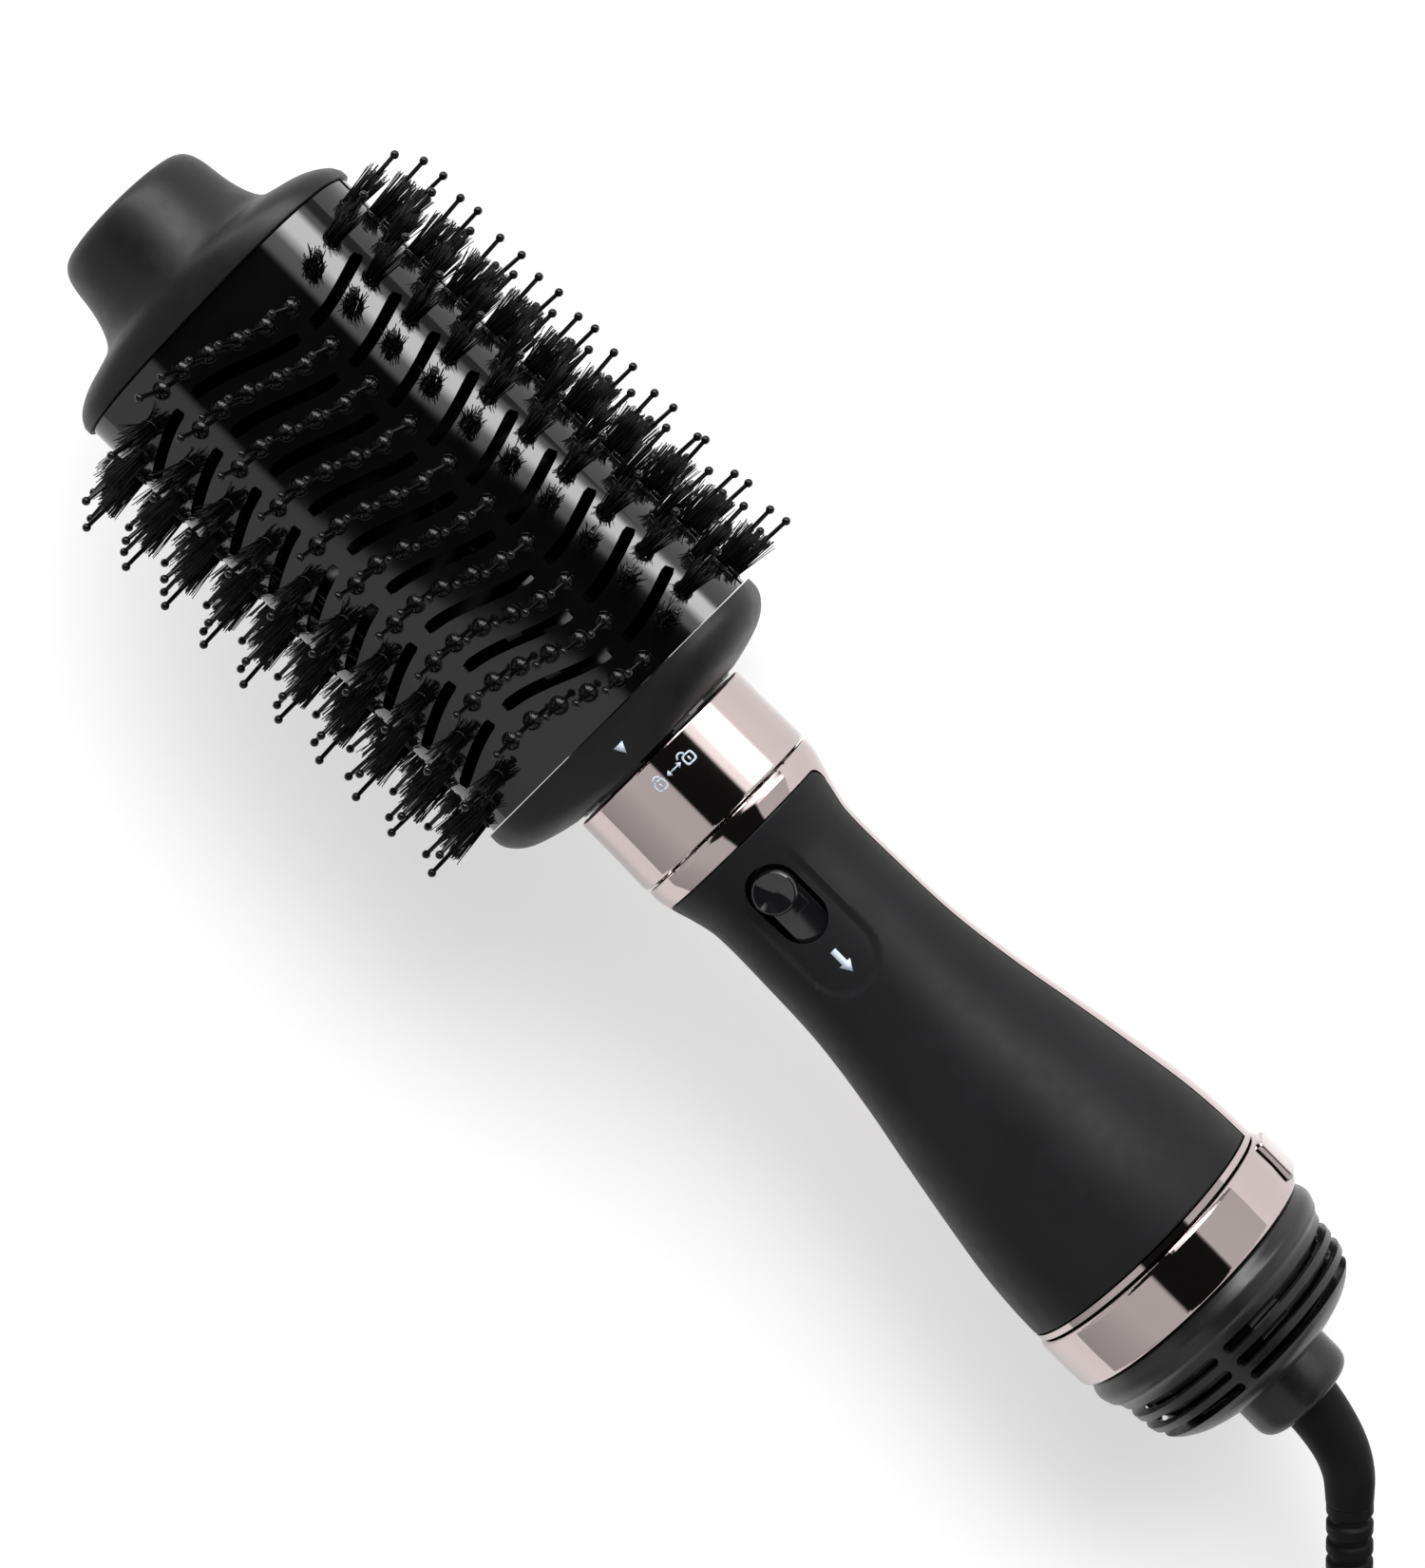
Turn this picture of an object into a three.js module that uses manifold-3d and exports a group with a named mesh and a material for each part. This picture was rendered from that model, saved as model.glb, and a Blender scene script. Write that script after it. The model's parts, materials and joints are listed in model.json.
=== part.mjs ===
// Hot air brush with a detachable oval head, lying face up on its back bristles.
// Millimetres, +Z up, +X towards the head. The origin is under the middle of the tool, on the table.
// Stations along the tool, written s, are measured from the cool tip towards the cord.

import * as THREE from 'three';
import { mergeVertices } from 'three/addons/utils/BufferGeometryUtils.js';
import Module from 'manifold-3d';

const wasm = await Module();
wasm.setup();

// Driving dimensions
const GAP = 0.3;
const ROUND = 28;
const OVAL = 28;
const TILT_DEG = 3.04;

// Head
const BARREL = { start: 30.4, end: 154.2, halfWidth: 39, halfDepth: 25, wall: 1.8, power: 2.55 };
const COLUMNS = 10;
const COLUMN_PITCH = 11.83;
const FIRST_COLUMN = 40.4;
const WAVE_HEIGHT = 3.95;
const WAVE_LENGTH = 62;
const WAVE_SHIFT = 1.8;
const PIN_ROWS = [-16.5, -9.9, -3.3, 3.3, 9.9, 16.5];
const PIN_TIP = 42.6;
const PIN_RADIUS = 1.2;
const PAD = { halfWidth: 18.6, bottom: 18.2, top: 20.6 };
const STRIP = { foot: 0.9, reach: 17.4, finWidth: 3.2, railTop: 0.9, root: 33, start: 33, end: 151.5 };
// Where the side bristles stand round the barrel, and how far they lean away from the front, in degrees
const FIN_LEANS = [
  [51, 20], [45, 37], [38, 53], [21, 78], [0, 90], [-21, 102], [-38, 127], [-45, 143], [-51, 160],
];
const SEAM_HALF = STRIP.railTop + GAP;
const SLOT_WIDTH = 2.6;
const SLOT_SPANS = [[-33.6, -16.8], [-13.2, 12.4], [16.8, 33.6]];

// Handle
const NECK_START = 166.8;
const COLLAR_END = 187.5;
const COVER = { start: 194, end: 317.4, halfAngle: 84, wall: 2.2 };
const SHELL_END = 319.5;
const SWITCH = { start: 199.9, end: 220.5, halfWidth: 6.05, knob: 206.5, knobRadius: 5.2 };
const RING = { start: 319.9, end: 333.4, bore: 29.4 };
const GLAND_END = 371;
const HANDLE_OUTLINE = [
  [187.9, 24.1], [191, 24.1], [195.2, 23.0], [200.2, 21.5], [206, 20.4], [222, 20.5], [238, 21.2],
  [255, 23.5], [285, 29.0], [300, 31.4], [310, 32.3], [319.5, 32.6],
];

// Cord set
const CORD_RADIUS = 3.5;
const COIL = { x: -298, y: -3, outerTurn: 54, turns: 3.5, layers: 2, tieAngle: 200 };

// Centre line of the sleeve beyond the gland, of the cord down to the coil, and from the coil to the plug
const RELIEF_ROUTE = [
  [-196, 1.8, 30.2], [-203, 5, 29], [-208.5, 9.8, 27.6], [-214, 15.2, 25.8], [-220.5, 21.7, 23.2],
  [-226.5, 27.7, 20.4],
];
const LEAD_ROUTE = [
  [-226.8, 28, 20.25], [-231.5, 32.7, 17.6], [-237, 37.8, 13.9], [-243.5, 42.6, 9.8], [-251, 46.6, 6.4],
  [-260, 49.6, 4.3], [-271, 51, 3.55], [-284, 51.2, 3.5], [-298, 51, 3.5],
];
const TAIL_ROUTE = [
  [-298, 51, 10.5], [-310, 51, 10.7], [-324, 50.4, 11.4], [-338, 48.2, 12.4], [-351, 44, 13.2],
  [-363, 39.6, 13.5], [-372.2, 38, 13.5],
];
const PLUG_PLACE = [-418.5, 38];
const PLUG_TURN_DEG = 0;

const SOFT_BLACK = { color: 0x2a2a2c, roughness: 0.75, metalness: 0 };
const GLOSS_BLACK = { color: 0x0c0c0d, roughness: 0.18, metalness: 0 };
const BARREL_BLACK = { color: 0x101012, roughness: 0.25, metalness: 0.4 };
const ROSE_CHROME = { color: 0xb9a19e, roughness: 0.12, metalness: 1 };
const NYLON = { color: 0x161617, roughness: 0.5, metalness: 0 };
const STEEL = { color: 0xa8abb0, roughness: 0.3, metalness: 1 };
const BRASS = { color: 0xc2a25a, roughness: 0.35, metalness: 1 };
const NICHROME = { color: 0x8c7f72, roughness: 0.4, metalness: 1 };
const MICA = { color: 0xb9a98a, roughness: 0.6, metalness: 0 };
const BOARD_GREEN = { color: 0x1f5c3a, roughness: 0.5, metalness: 0 };
const RED_PLASTIC = { color: 0xa3231f, roughness: 0.4, metalness: 0 };

const radians = THREE.MathUtils.degToRad;

// Closed meshes to solids and back

function solid(source) {
  const bare = source.clone();
  bare.deleteAttribute('normal');
  bare.deleteAttribute('uv');
  const merged = mergeVertices(bare, 1e-4);
  const vertProperties = new Float32Array(merged.attributes.position.array);
  const at = (i) => new THREE.Vector3().fromArray(vertProperties, 3 * i);
  const faces = [];
  let volume = 0;
  for (let i = 0; i < merged.index.count; i += 3) {
    const face = [0, 1, 2].map((k) => merged.index.getX(i + k));
    if (new Set(face).size === 3) {
      faces.push(face);
      volume += at(face[0]).dot(at(face[1]).cross(at(face[2])));
    }
  }
  const triVerts = new Uint32Array(faces.flatMap(([a, b, c]) => (volume > 0 ? [a, b, c] : [a, c, b])));
  return new wasm.Manifold(new wasm.Mesh({ numProp: 3, vertProperties, triVerts }));
}

function surface(body) {
  const { numProp, vertProperties, triVerts } = body.getMesh();
  const places = [];
  for (let i = 0; i < vertProperties.length; i += numProp) {
    places.push(vertProperties[i], vertProperties[i + 1], vertProperties[i + 2]);
  }
  const geometry = new THREE.BufferGeometry();
  geometry.setAttribute('position', new THREE.Float32BufferAttribute(places, 3));
  geometry.setIndex([...triVerts]);
  geometry.computeVertexNormals();
  return geometry;
}

const joined = (bodies) => bodies.reduce((all, body) => all.add(body));
const cutBy = (body, tools) => tools.reduce((left, tool) => left.subtract(tool), body);

function addPart(group, name, body, finish) {
  const mesh = new THREE.Mesh(surface(body), new THREE.MeshStandardMaterial(finish));
  mesh.name = name;
  group.add(mesh);
  return mesh;
}

// Shapes in the tool's own frame: x is minus the station, z points out of the front face

// Turned about the tool's axis, from rows of [station, radius]
function turned(profile, segments = ROUND) {
  const points = profile.map(([s, r]) => new THREE.Vector2(r, s));
  if (profile[0][1] > 0) {
    points.push(points[0].clone());
  }
  return solid(new THREE.LatheGeometry(points, segments).rotateZ(Math.PI / 2));
}

// Extruded along the tool, from an outline in [y, z]
function along(outline, start, end) {
  const shape = new THREE.Shape(outline.map(([y, z]) => new THREE.Vector2(y, z)));
  const geometry = new THREE.ExtrudeGeometry(shape, { depth: end - start, bevelEnabled: false });
  const frame = new THREE.Matrix4().set(0, 0, -1, -start, 1, 0, 0, 0, 0, 1, 0, 0, 0, 0, 0, 1);
  return solid(geometry.applyMatrix4(frame));
}

// Extruded through the front face, from an outline in [station, y]
function through(outline, low, high) {
  const shape = new THREE.Shape(outline.map(([s, y]) => new THREE.Vector2(-s, y)));
  const geometry = new THREE.ExtrudeGeometry(shape, { depth: high - low, bevelEnabled: false });
  return solid(geometry.translate(0, 0, low));
}

function block(s0, s1, y0, y1, z0, z1) {
  const geometry = new THREE.BoxGeometry(s1 - s0, y1 - y0, z1 - z0);
  return solid(geometry.translate(-(s0 + s1) / 2, (y0 + y1) / 2, (z0 + z1) / 2));
}

function rod(from, to, rootRadius, tipRadius = rootRadius, sides = 4) {
  const reach = new THREE.Vector3().subVectors(to, from);
  const geometry = new THREE.CylinderGeometry(tipRadius, rootRadius, reach.length(), sides);
  geometry.translate(0, reach.length() / 2, 0);
  const turn = new THREE.Quaternion().setFromUnitVectors(new THREE.Vector3(0, 1, 0), reach.normalize());
  return solid(geometry.applyQuaternion(turn).translate(from.x, from.y, from.z));
}

function obround(s0, s1, halfWidth, steps = 8) {
  const outline = [];
  for (let i = 0; i <= steps; i += 1) {
    const angle = Math.PI * (i / steps - 0.5);
    outline.push([s1 - halfWidth + halfWidth * Math.cos(angle), halfWidth * Math.sin(angle)]);
  }
  return [...outline, ...outline.map(([s, y]) => [s0 + s1 - s, -y])];
}

function turnedOver(body) {
  return body.rotate([180, 0, 0]);
}

// A wedge of the tool about its axis, open towards the front
function wedge(start, end, halfAngle) {
  const reach = 60;
  const half = radians(halfAngle);
  const outline = [[0, 0]];
  for (let i = 0; i <= 6; i += 1) {
    const angle = half * (i / 3 - 1);
    outline.push([reach * Math.sin(angle), reach * Math.cos(angle)]);
  }
  return along(outline, start, end);
}

// Oval section of the head: round near the tip and the neck, squared off where it is wide
function ovalPoint(angle, halfWidth, halfDepth) {
  const widening = THREE.MathUtils.smoothstep(halfWidth - halfDepth, 0, 14);
  const power = 2 / THREE.MathUtils.lerp(2, BARREL.power, widening);
  const bend = (value) => Math.sign(value) * Math.abs(value) ** power;
  return [halfWidth * bend(Math.cos(angle)), halfDepth * bend(Math.sin(angle))];
}

// Like turned, from rows of [station, half width, half depth]
function ovalTurned(profile) {
  const rows = profile[0][1] > 0 ? [...profile, profile[0]] : profile;
  const geometry = new THREE.LatheGeometry(rows.map(([s]) => new THREE.Vector2(1, s)), OVAL);
  const place = geometry.attributes.position;
  for (let i = 0; i <= OVAL; i += 1) {
    rows.forEach(([s, halfWidth, halfDepth], j) => {
      const [y, z] = ovalPoint((2 * Math.PI * (i % OVAL)) / OVAL, halfWidth, halfDepth);
      place.setXYZ(i * rows.length + j, -s, y, z);
    });
  }
  return solid(geometry);
}

// Head

function frontCap() {
  return ovalTurned([
    [0, 0, 0], [0, 15.6, 15.6], [0.9, 18, 18], [4, 19.8, 19.8], [12, 20.7, 20.7], [20.4, 24, 23.5],
    [21.8, 29, 24.4], [23.4, 34.6, 25.2], [26, 38.6, 25.9], [30.1, 40, 26.2], [30.1, 37.6, 23.8],
    [26, 35, 22.6], [21, 20.6, 20.6], [3, 16, 16], [3, 0, 0],
  ]);
}

function tipDisc() {
  return turned([[4, 0], [4, 14.4], [5.2, 14.4], [5.2, 0]], 20);
}

function rearCap() {
  const shell = ovalTurned([
    [154.5, 40.2, 26.3], [158, 40.2, 26.3], [160.4, 38.4, 25.9], [162.8, 35.2, 25.3], [164.6, 29.6, 24.7],
    [165.8, 24.4, 24], [165.8, 23.2, 23.2], [160.4, 23.2, 23.2], [157, 24, 23.4], [154.5, 37.8, 23.9],
  ]);
  const grooves = [0, 120, 240].map((turn) => rotatedAboutAxis(block(158, 167, -2.6, 2.6, 20, 23.7), turn));
  return cutBy(shell, grooves);
}

function rotatedAboutAxis(body, degrees) {
  return body.rotate([degrees, 0, 0]);
}

const wave = (y) => -WAVE_HEIGHT * Math.sin((2 * Math.PI * (y + WAVE_SHIFT)) / WAVE_LENGTH);
const columnStart = (column) => FIRST_COLUMN + column * COLUMN_PITCH;

// One curved air slot of the front half, seen from the front
function slotOutline(column, [from, to], width) {
  const centre = columnStart(column) + COLUMN_PITCH / 2;
  const steps = to - from > 20 ? 3 : 1;
  const edge = (side) => Array.from({ length: steps + 1 }, (unused, i) => {
    const y = from + ((to - from) * i) / steps;
    return [centre + wave(y) + side * width, y];
  });
  return [...edge(-0.5), ...edge(0.5).reverse()];
}

function airSlots(width, spans, low, high) {
  const cuts = [];
  for (let column = 0; column < COLUMNS - 1; column += 1) {
    for (const span of spans) {
      cuts.push(through(slotOutline(column, span, width), low, high));
    }
  }
  return cuts;
}

function pins(radius, root, tip) {
  const all = [];
  for (let column = 0; column < COLUMNS; column += 1) {
    for (const y of PIN_ROWS) {
      const x = -(columnStart(column) + wave(y));
      all.push(rod(new THREE.Vector3(x, y, root), new THREE.Vector3(x, y, tip), radius, radius, 3));
    }
  }
  return all;
}

const FACETS_DEG = [0, 10, 22, 36, 51, 66, 90];

function barrelEdge(inset) {
  const half = FACETS_DEG.map((angle) => ovalPoint(
    radians(angle), BARREL.halfWidth - inset, BARREL.halfDepth - inset,
  ));
  return [...half, ...half.slice(0, -1).reverse().map(([y, z]) => [-y, z])];
}

function barrelHalf() {
  const outline = [...barrelEdge(0), ...barrelEdge(BARREL.wall).reverse()];
  const seam = block(BARREL.start - 1, BARREL.end + 1, -45, 45, -1, SEAM_HALF);
  const cuts = [
    ...airSlots(SLOT_WIDTH, SLOT_SPANS, 5, 30),
    ...pins(PIN_RADIUS + 0.6, 15, 30),
    seam,
  ];
  return cutBy(along(outline, BARREL.start, BARREL.end), cuts);
}

function pinPad() {
  const edge = columnStart(0) - WAVE_HEIGHT - 3;
  const end = columnStart(COLUMNS - 1) + WAVE_HEIGHT + 3;
  const plate = block(edge, end, -PAD.halfWidth, PAD.halfWidth, PAD.bottom, PAD.top);
  const open = airSlots(SLOT_WIDTH + 1.6, [SLOT_SPANS[1]], PAD.bottom - 1, PAD.top + 1);
  return joined([cutBy(plate, open), ...pins(PIN_RADIUS, PAD.bottom + 0.5, PIN_TIP)]);
}

// The side bristles, drawn on the side of positive y: one soft fin for each column of tufts, on a
// rail that the two halves of the barrel hold between them
function bristleStrip() {
  const edge = (out) => FIN_LEANS.map(([place, lean]) => {
    const [y, z] = ovalPoint(radians(place), BARREL.halfWidth, BARREL.halfDepth);
    return [y + out * Math.sin(radians(lean)), z + out * Math.cos(radians(lean))];
  });
  const outline = [...edge(STRIP.foot), ...edge(STRIP.reach).reverse()];
  const rail = block(STRIP.start, STRIP.end, STRIP.root, 42, -STRIP.railTop, STRIP.railTop);
  const fins = [];
  for (let column = 0; column < COLUMNS; column += 1) {
    const middle = columnStart(column) + 0.6;
    fins.push(along(outline, middle - STRIP.finWidth / 2, middle + STRIP.finWidth / 2));
  }
  return joined([rail, ...fins]);
}

function buildHead(group) {
  const half = barrelHalf();
  const pad = pinPad();
  const strip = bristleStrip();
  addPart(group, 'front_cap', frontCap(), SOFT_BLACK);
  addPart(group, 'tip_disc', tipDisc(), SOFT_BLACK);
  addPart(group, 'barrel_front_shell', half, BARREL_BLACK);
  addPart(group, 'barrel_back_shell', turnedOver(half), BARREL_BLACK);
  addPart(group, 'front_pin_pad', pad, NYLON);
  addPart(group, 'back_pin_pad', turnedOver(pad), NYLON);
  addPart(group, 'left_bristle_strip', strip, NYLON);
  addPart(group, 'right_bristle_strip', turnedOver(strip), NYLON);
  addPart(group, 'rear_cap', rearCap(), SOFT_BLACK);
}

// Neck: the head slides over the spigot, and turns with the bayonet ring to lock

function bayonetRing() {
  const ring = turned([[160.8, 19.4], [160.8, 22.6], [166.4, 22.6], [166.4, 19.4]]);
  const lugs = [0, 120, 240].map((turn) => rotatedAboutAxis(block(160.8, 164.8, -2.1, 2.1, 21, 23.3), turn));
  return joined([ring, ...lugs]);
}

function spigot() {
  const body = turned([
    [118, 13.6], [120.5, 15.7], [157, 15.7], [159.5, 18.9], [167.2, 18.9], [167.2, 21.1], [186.8, 21.1],
    [186.8, 16.4], [182, 14.4], [118, 12.6],
  ]);
  const channel = block(166, 188, -2.6, 2.6, 20, 22);
  return body.subtract(channel);
}

function outletGrille() {
  const rim = turned([[119.4, 10.6], [119.4, 12.3], [121, 12.3], [121, 10.6]], 16);
  const bar = block(119.6, 120.8, -11.2, 11.2, -0.6, 0.6);
  const bars = [0, 60, 120].map((turn) => rotatedAboutAxis(bar, turn));
  return joined([rim, ...bars]);
}

function heaterFrame() {
  const reach = 9.6;
  const thick = 0.5;
  return joined([
    block(126, 192, -reach, reach, -thick, thick),
    block(126, 192, -thick, thick, -reach, reach),
  ]);
}

class Helix extends THREE.Curve {
  constructor(start, end, radius, turns) {
    super();
    Object.assign(this, { start, end, radius, turns });
  }

  getPoint(t, target = new THREE.Vector3()) {
    const angle = 2 * Math.PI * this.turns * t;
    const x = -THREE.MathUtils.lerp(this.start, this.end, t);
    return target.set(x, this.radius * Math.cos(angle), this.radius * Math.sin(angle));
  }
}

function circle(radius, sides) {
  const points = Array.from({ length: sides }, (unused, i) => {
    const angle = (2 * Math.PI * i) / sides;
    return new THREE.Vector2(radius * Math.cos(angle), radius * Math.sin(angle));
  });
  return new THREE.Shape(points);
}

function tube(path, radius, steps, sides = 8) {
  const options = { steps, bevelEnabled: false, extrudePath: path };
  return solid(new THREE.ExtrudeGeometry(circle(radius, sides), options));
}

function heaterCoil() {
  return tube(new Helix(130, 188, 11.2, 6), 0.7, 60, 3);
}

function thermalFuse() {
  return turned([[200, 0], [200, 2], [211, 2], [211, 0]], 10).translate([0, 7, -4]);
}

// Room for the latch under the collar and the shoulder
function latchWay() {
  return block(NECK_START - 1, 198, -2.9, 2.9, 19, 21.6);
}

function neckCollar() {
  const ring = [
    [NECK_START, 21.5], [NECK_START, 23.4], [NECK_START + 0.7, 24.1], [176, 24.15], [186.8, 24.4],
    [COLLAR_END, 24.1], [COLLAR_END, 21.5],
  ];
  return turned(ring).subtract(latchWay());
}

// Handle

function handleTube() {
  const inner = HANDLE_OUTLINE.map(([s, r]) => [s, r - COVER.wall]).reverse();
  return turned([...HANDLE_OUTLINE, ...inner]);
}

function frontCover() {
  const window = through(obround(SWITCH.start, SWITCH.end, SWITCH.halfWidth), 10, 30);
  const blank = handleTube().intersect(wedge(COVER.start, COVER.end, COVER.halfAngle));
  return cutBy(blank, [window, latchWay()]);
}

function backShell() {
  const hollow = wedge(COVER.start - GAP, COVER.end + GAP, COVER.halfAngle + 0.9);
  const holes = SCREW_STATIONS.map((s) => screwShape(s, 0.5));
  return cutBy(handleTube(), [hollow, latchWay(), ...holes]);
}

const SCREW_STATIONS = [216, 309.5];

function screwShape(station, clearance) {
  const depth = station < 250 ? 20.4 : 31.9;
  const head = rod(
    new THREE.Vector3(-station, 0, -depth - clearance),
    new THREE.Vector3(-station, 0, -depth + 1.3 + clearance),
    3 + clearance, 3 + clearance, 10,
  );
  const stem = rod(
    new THREE.Vector3(-station, 0, -depth + 0.5), new THREE.Vector3(-station, 0, -depth + 5),
    1.4 + clearance, 1.4 + clearance, 8,
  );
  return head.add(stem);
}

function releaseSlider() {
  const plate = block(196, 222.5, -4.6, 4.6, 15.9, 17.1);
  const tongue = block(202, 213.6, -3.4, 3.4, 17, 17.45);
  const knob = rod(
    new THREE.Vector3(-SWITCH.knob, 0, 16.5), new THREE.Vector3(-SWITCH.knob, 0, 20.9),
    SWITCH.knobRadius, SWITCH.knobRadius - 0.5, 20,
  );
  const arm = block(187.2, 197, -2.2, 2.2, 16.1, 17.1).add(block(187.2, 188.6, -2.2, 2.2, 16.1, 21.2));
  const latch = block(167.7, 188.6, -2.2, 2.2, 20.3, 21.2);
  return joined([plate, tongue, knob, arm, latch]);
}

function latchSpring() {
  const coil = tube(new Helix(0, 9.4, 1.6, 5), 0.3, 40, 3);
  return coil.translate([-223.2, 0, 15]);
}

function springPost() {
  return block(233, 235, -3.5, 3.5, 11.5, 18.2);
}

function motorCan() {
  const profile = [
    [258, 0], [258, 4], [259, 4], [259, 13], [261, 14], [286, 14], [287.5, 12.5], [287.5, 0],
  ];
  const can = turned(profile, 20);
  return can.subtract(turned([[279, 0], [279, 1.9], [289, 1.9], [289, 0]], 12));
}

function motorMount() {
  const outer = turned([[281, 24.4], [281, 25.8], [289, 26.6], [289, 25]], 20);
  const inner = turned([[281, 14.4], [281, 16], [289, 16], [289, 14.4]], 16);
  const spokes = [30, 150, 270].map((turn) => rotatedAboutAxis(block(282, 288, -1.2, 1.2, 15.2, 25.2), turn));
  return joined([outer, inner, ...spokes]);
}

function fanShroud() {
  return turned([[291, 24.6], [291, 26.6], [306, 28.4], [306, 26.8]], 20);
}

function impeller() {
  const hub = turned([[282, 0], [282, 1.3], [292, 1.3], [292, 7], [303, 6], [304.5, 4], [304.5, 0]], 14);
  const blades = [];
  for (let i = 0; i < 7; i += 1) {
    const blade = block(-5.2, 5.2, -0.7, 0.7, 5, 23.6).rotate([0, 0, 35]).translate([-298, 0, 0]);
    blades.push(rotatedAboutAxis(blade, (360 * i) / 7));
  }
  return joined([hub, ...blades]);
}

function circuitBoard() {
  const disc = turned([[309.2, 9], [309.2, 26], [310.8, 26], [310.8, 9]], 28);
  return disc.subtract(block(308, 312, -30, 30, -2, 30));
}

function rotarySwitch() {
  return block(311.2, 318.5, -6.5, 6.5, -23, -14);
}

function capacitor() {
  return block(311.2, 318, 12, 17, -14, -6);
}

function selectorRing() {
  const ring = turned([
    [RING.start, RING.bore], [RING.start, 32.7], [RING.start + 0.8, 33.2], [326, 33.3],
    [RING.end - 0.8, 33], [RING.end, 32.4], [RING.end, RING.bore],
  ], 32);
  const tab = rotatedAboutAxis(block(320.6, 331.4, -5, 5, 31, 34.3), 90);
  return ring.add(tab);
}

const VENT_RIBS_DEG = [0, 120, 240];
const VENT_SLOTS = [[343.2, 345.7], [347.5, 350], [351.9, 354.3]];

function tailVent() {
  const housing = turned([
    [313.5, 27], [313.5, 29], [333.8, 29], [333.8, 31.6], [337.4, 32.5], [340.4, 31.8], [343, 30.1],
    [350, 29.5], [353, 28.7], [355.5, 26.8], [357.7, 23.6], [360, 16.5], [360, 13.4], [357.5, 13.4],
    [357.3, 17], [352.6, 25.8], [349.6, 27.2], [341, 27.4],
  ]);
  const ribs = VENT_RIBS_DEG.map((turn) => rotatedAboutAxis(block(340, 358, -1.75, 1.75, 15, 34), turn));
  const slots = VENT_SLOTS.map(([from, to]) => {
    const ring = turned([[from, 20], [from, 34], [to, 34], [to, 20]]);
    return cutBy(ring, ribs);
  });
  return cutBy(housing, slots);
}

function filterScreen() {
  return turned([
    [341, 25.9], [341, 26.7], [349.3, 26.4], [354, 22.4], [353.4, 21.7], [349, 25.5],
  ], 20);
}

function cordGland() {
  return turned([
    [357.1, 7.5], [357.1, 12.9], [368, 12.9], [369.6, 12.4], [370.7, 11.3],
    [GLAND_END, 9.8], [GLAND_END, 7.5],
  ], 20);
}

function internalLead() {
  const path = new THREE.CatmullRomCurve3([
    new THREE.Vector3(-350.5, 0, 0), new THREE.Vector3(-340, 3, -3), new THREE.Vector3(-328, 8, -10),
    new THREE.Vector3(-320.2, 9.5, -14), new THREE.Vector3(-319.2, 9.5, -19),
  ]);
  return tube(path, 1.8, 10, 6);
}

function buildHandle(group) {
  addPart(group, 'neck_collar', neckCollar(), ROSE_CHROME);
  addPart(group, 'spigot', spigot(), NYLON);
  addPart(group, 'outlet_grille', outletGrille(), NYLON);
  addPart(group, 'heater_frame', heaterFrame(), MICA);
  addPart(group, 'heater_coil', heaterCoil(), NICHROME);
  addPart(group, 'thermal_fuse', thermalFuse(), STEEL);
  addPart(group, 'front_cover', frontCover(), SOFT_BLACK);
  addPart(group, 'back_shell', backShell(), ROSE_CHROME);
  SCREW_STATIONS.forEach((station, i) => {
    addPart(group, `shell_screw_${i + 1}`, screwShape(station, 0), STEEL);
  });
  addPart(group, 'latch_spring', latchSpring(), STEEL);
  addPart(group, 'spring_post', springPost(), NYLON);
  addPart(group, 'motor_can', motorCan(), STEEL);
  addPart(group, 'motor_mount', motorMount(), NYLON);
  addPart(group, 'fan_shroud', fanShroud(), NYLON);
  addPart(group, 'circuit_board', circuitBoard(), BOARD_GREEN);
  addPart(group, 'rotary_switch', rotarySwitch(), NYLON);
  addPart(group, 'capacitor', capacitor(), RED_PLASTIC);
  addPart(group, 'tail_vent', tailVent(), GLOSS_BLACK);
  addPart(group, 'filter_screen', filterScreen(), NYLON);
  addPart(group, 'cord_gland', cordGland(), GLOSS_BLACK);
  addPart(group, 'internal_lead', internalLead(), NYLON);
}

const tool = new THREE.Group();
tool.rotation.y = -radians(TILT_DEG);
buildHead(tool);
addPart(tool, 'bayonet_ring', bayonetRing(), NYLON);
buildHandle(tool);
addPart(tool, 'release_slider', releaseSlider(), GLOSS_BLACK);
addPart(tool, 'impeller', impeller(), NYLON);
addPart(tool, 'selector_ring', selectorRing(), ROSE_CHROME);

// The tool stands with its lowest points on the table and its middle over the origin
tool.updateMatrixWorld(true);
const extent = new THREE.Box3().setFromObject(tool, true);
const middle = extent.getCenter(new THREE.Vector3());
tool.position.set(-middle.x, -middle.y, -extent.min.z);
tool.updateMatrixWorld(true);

// Cord set, in the frame of the table

const onAxis = (s) => tool.localToWorld(new THREE.Vector3(-s, 0, 0));
const vector = ([x, y, z]) => new THREE.Vector3(x, y, z);
const smooth = (points) => new THREE.CatmullRomCurve3(points, false, 'centripetal');

// Sleeve of [distance along the path, radius] rows, bent along the path
function bentSleeve(path, profile, segments) {
  const geometry = new THREE.LatheGeometry(profile.map(([d, r]) => new THREE.Vector2(r, d)), segments);
  const place = geometry.attributes.position;
  const total = path.getLength();
  const spot = new THREE.Vector3();
  for (let i = 0; i < place.count; i += 1) {
    spot.fromBufferAttribute(place, i);
    const t = THREE.MathUtils.clamp(spot.y / total, 0, 1);
    const forward = path.getTangentAt(t);
    const side = new THREE.Vector3(0, 0, 1).cross(forward).normalize();
    const up = forward.clone().cross(side);
    const centre = path.getPointAt(t).addScaledVector(side, spot.x).addScaledVector(up, spot.z);
    place.setXYZ(i, centre.x, centre.y, centre.z);
  }
  return solid(geometry);
}

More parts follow.
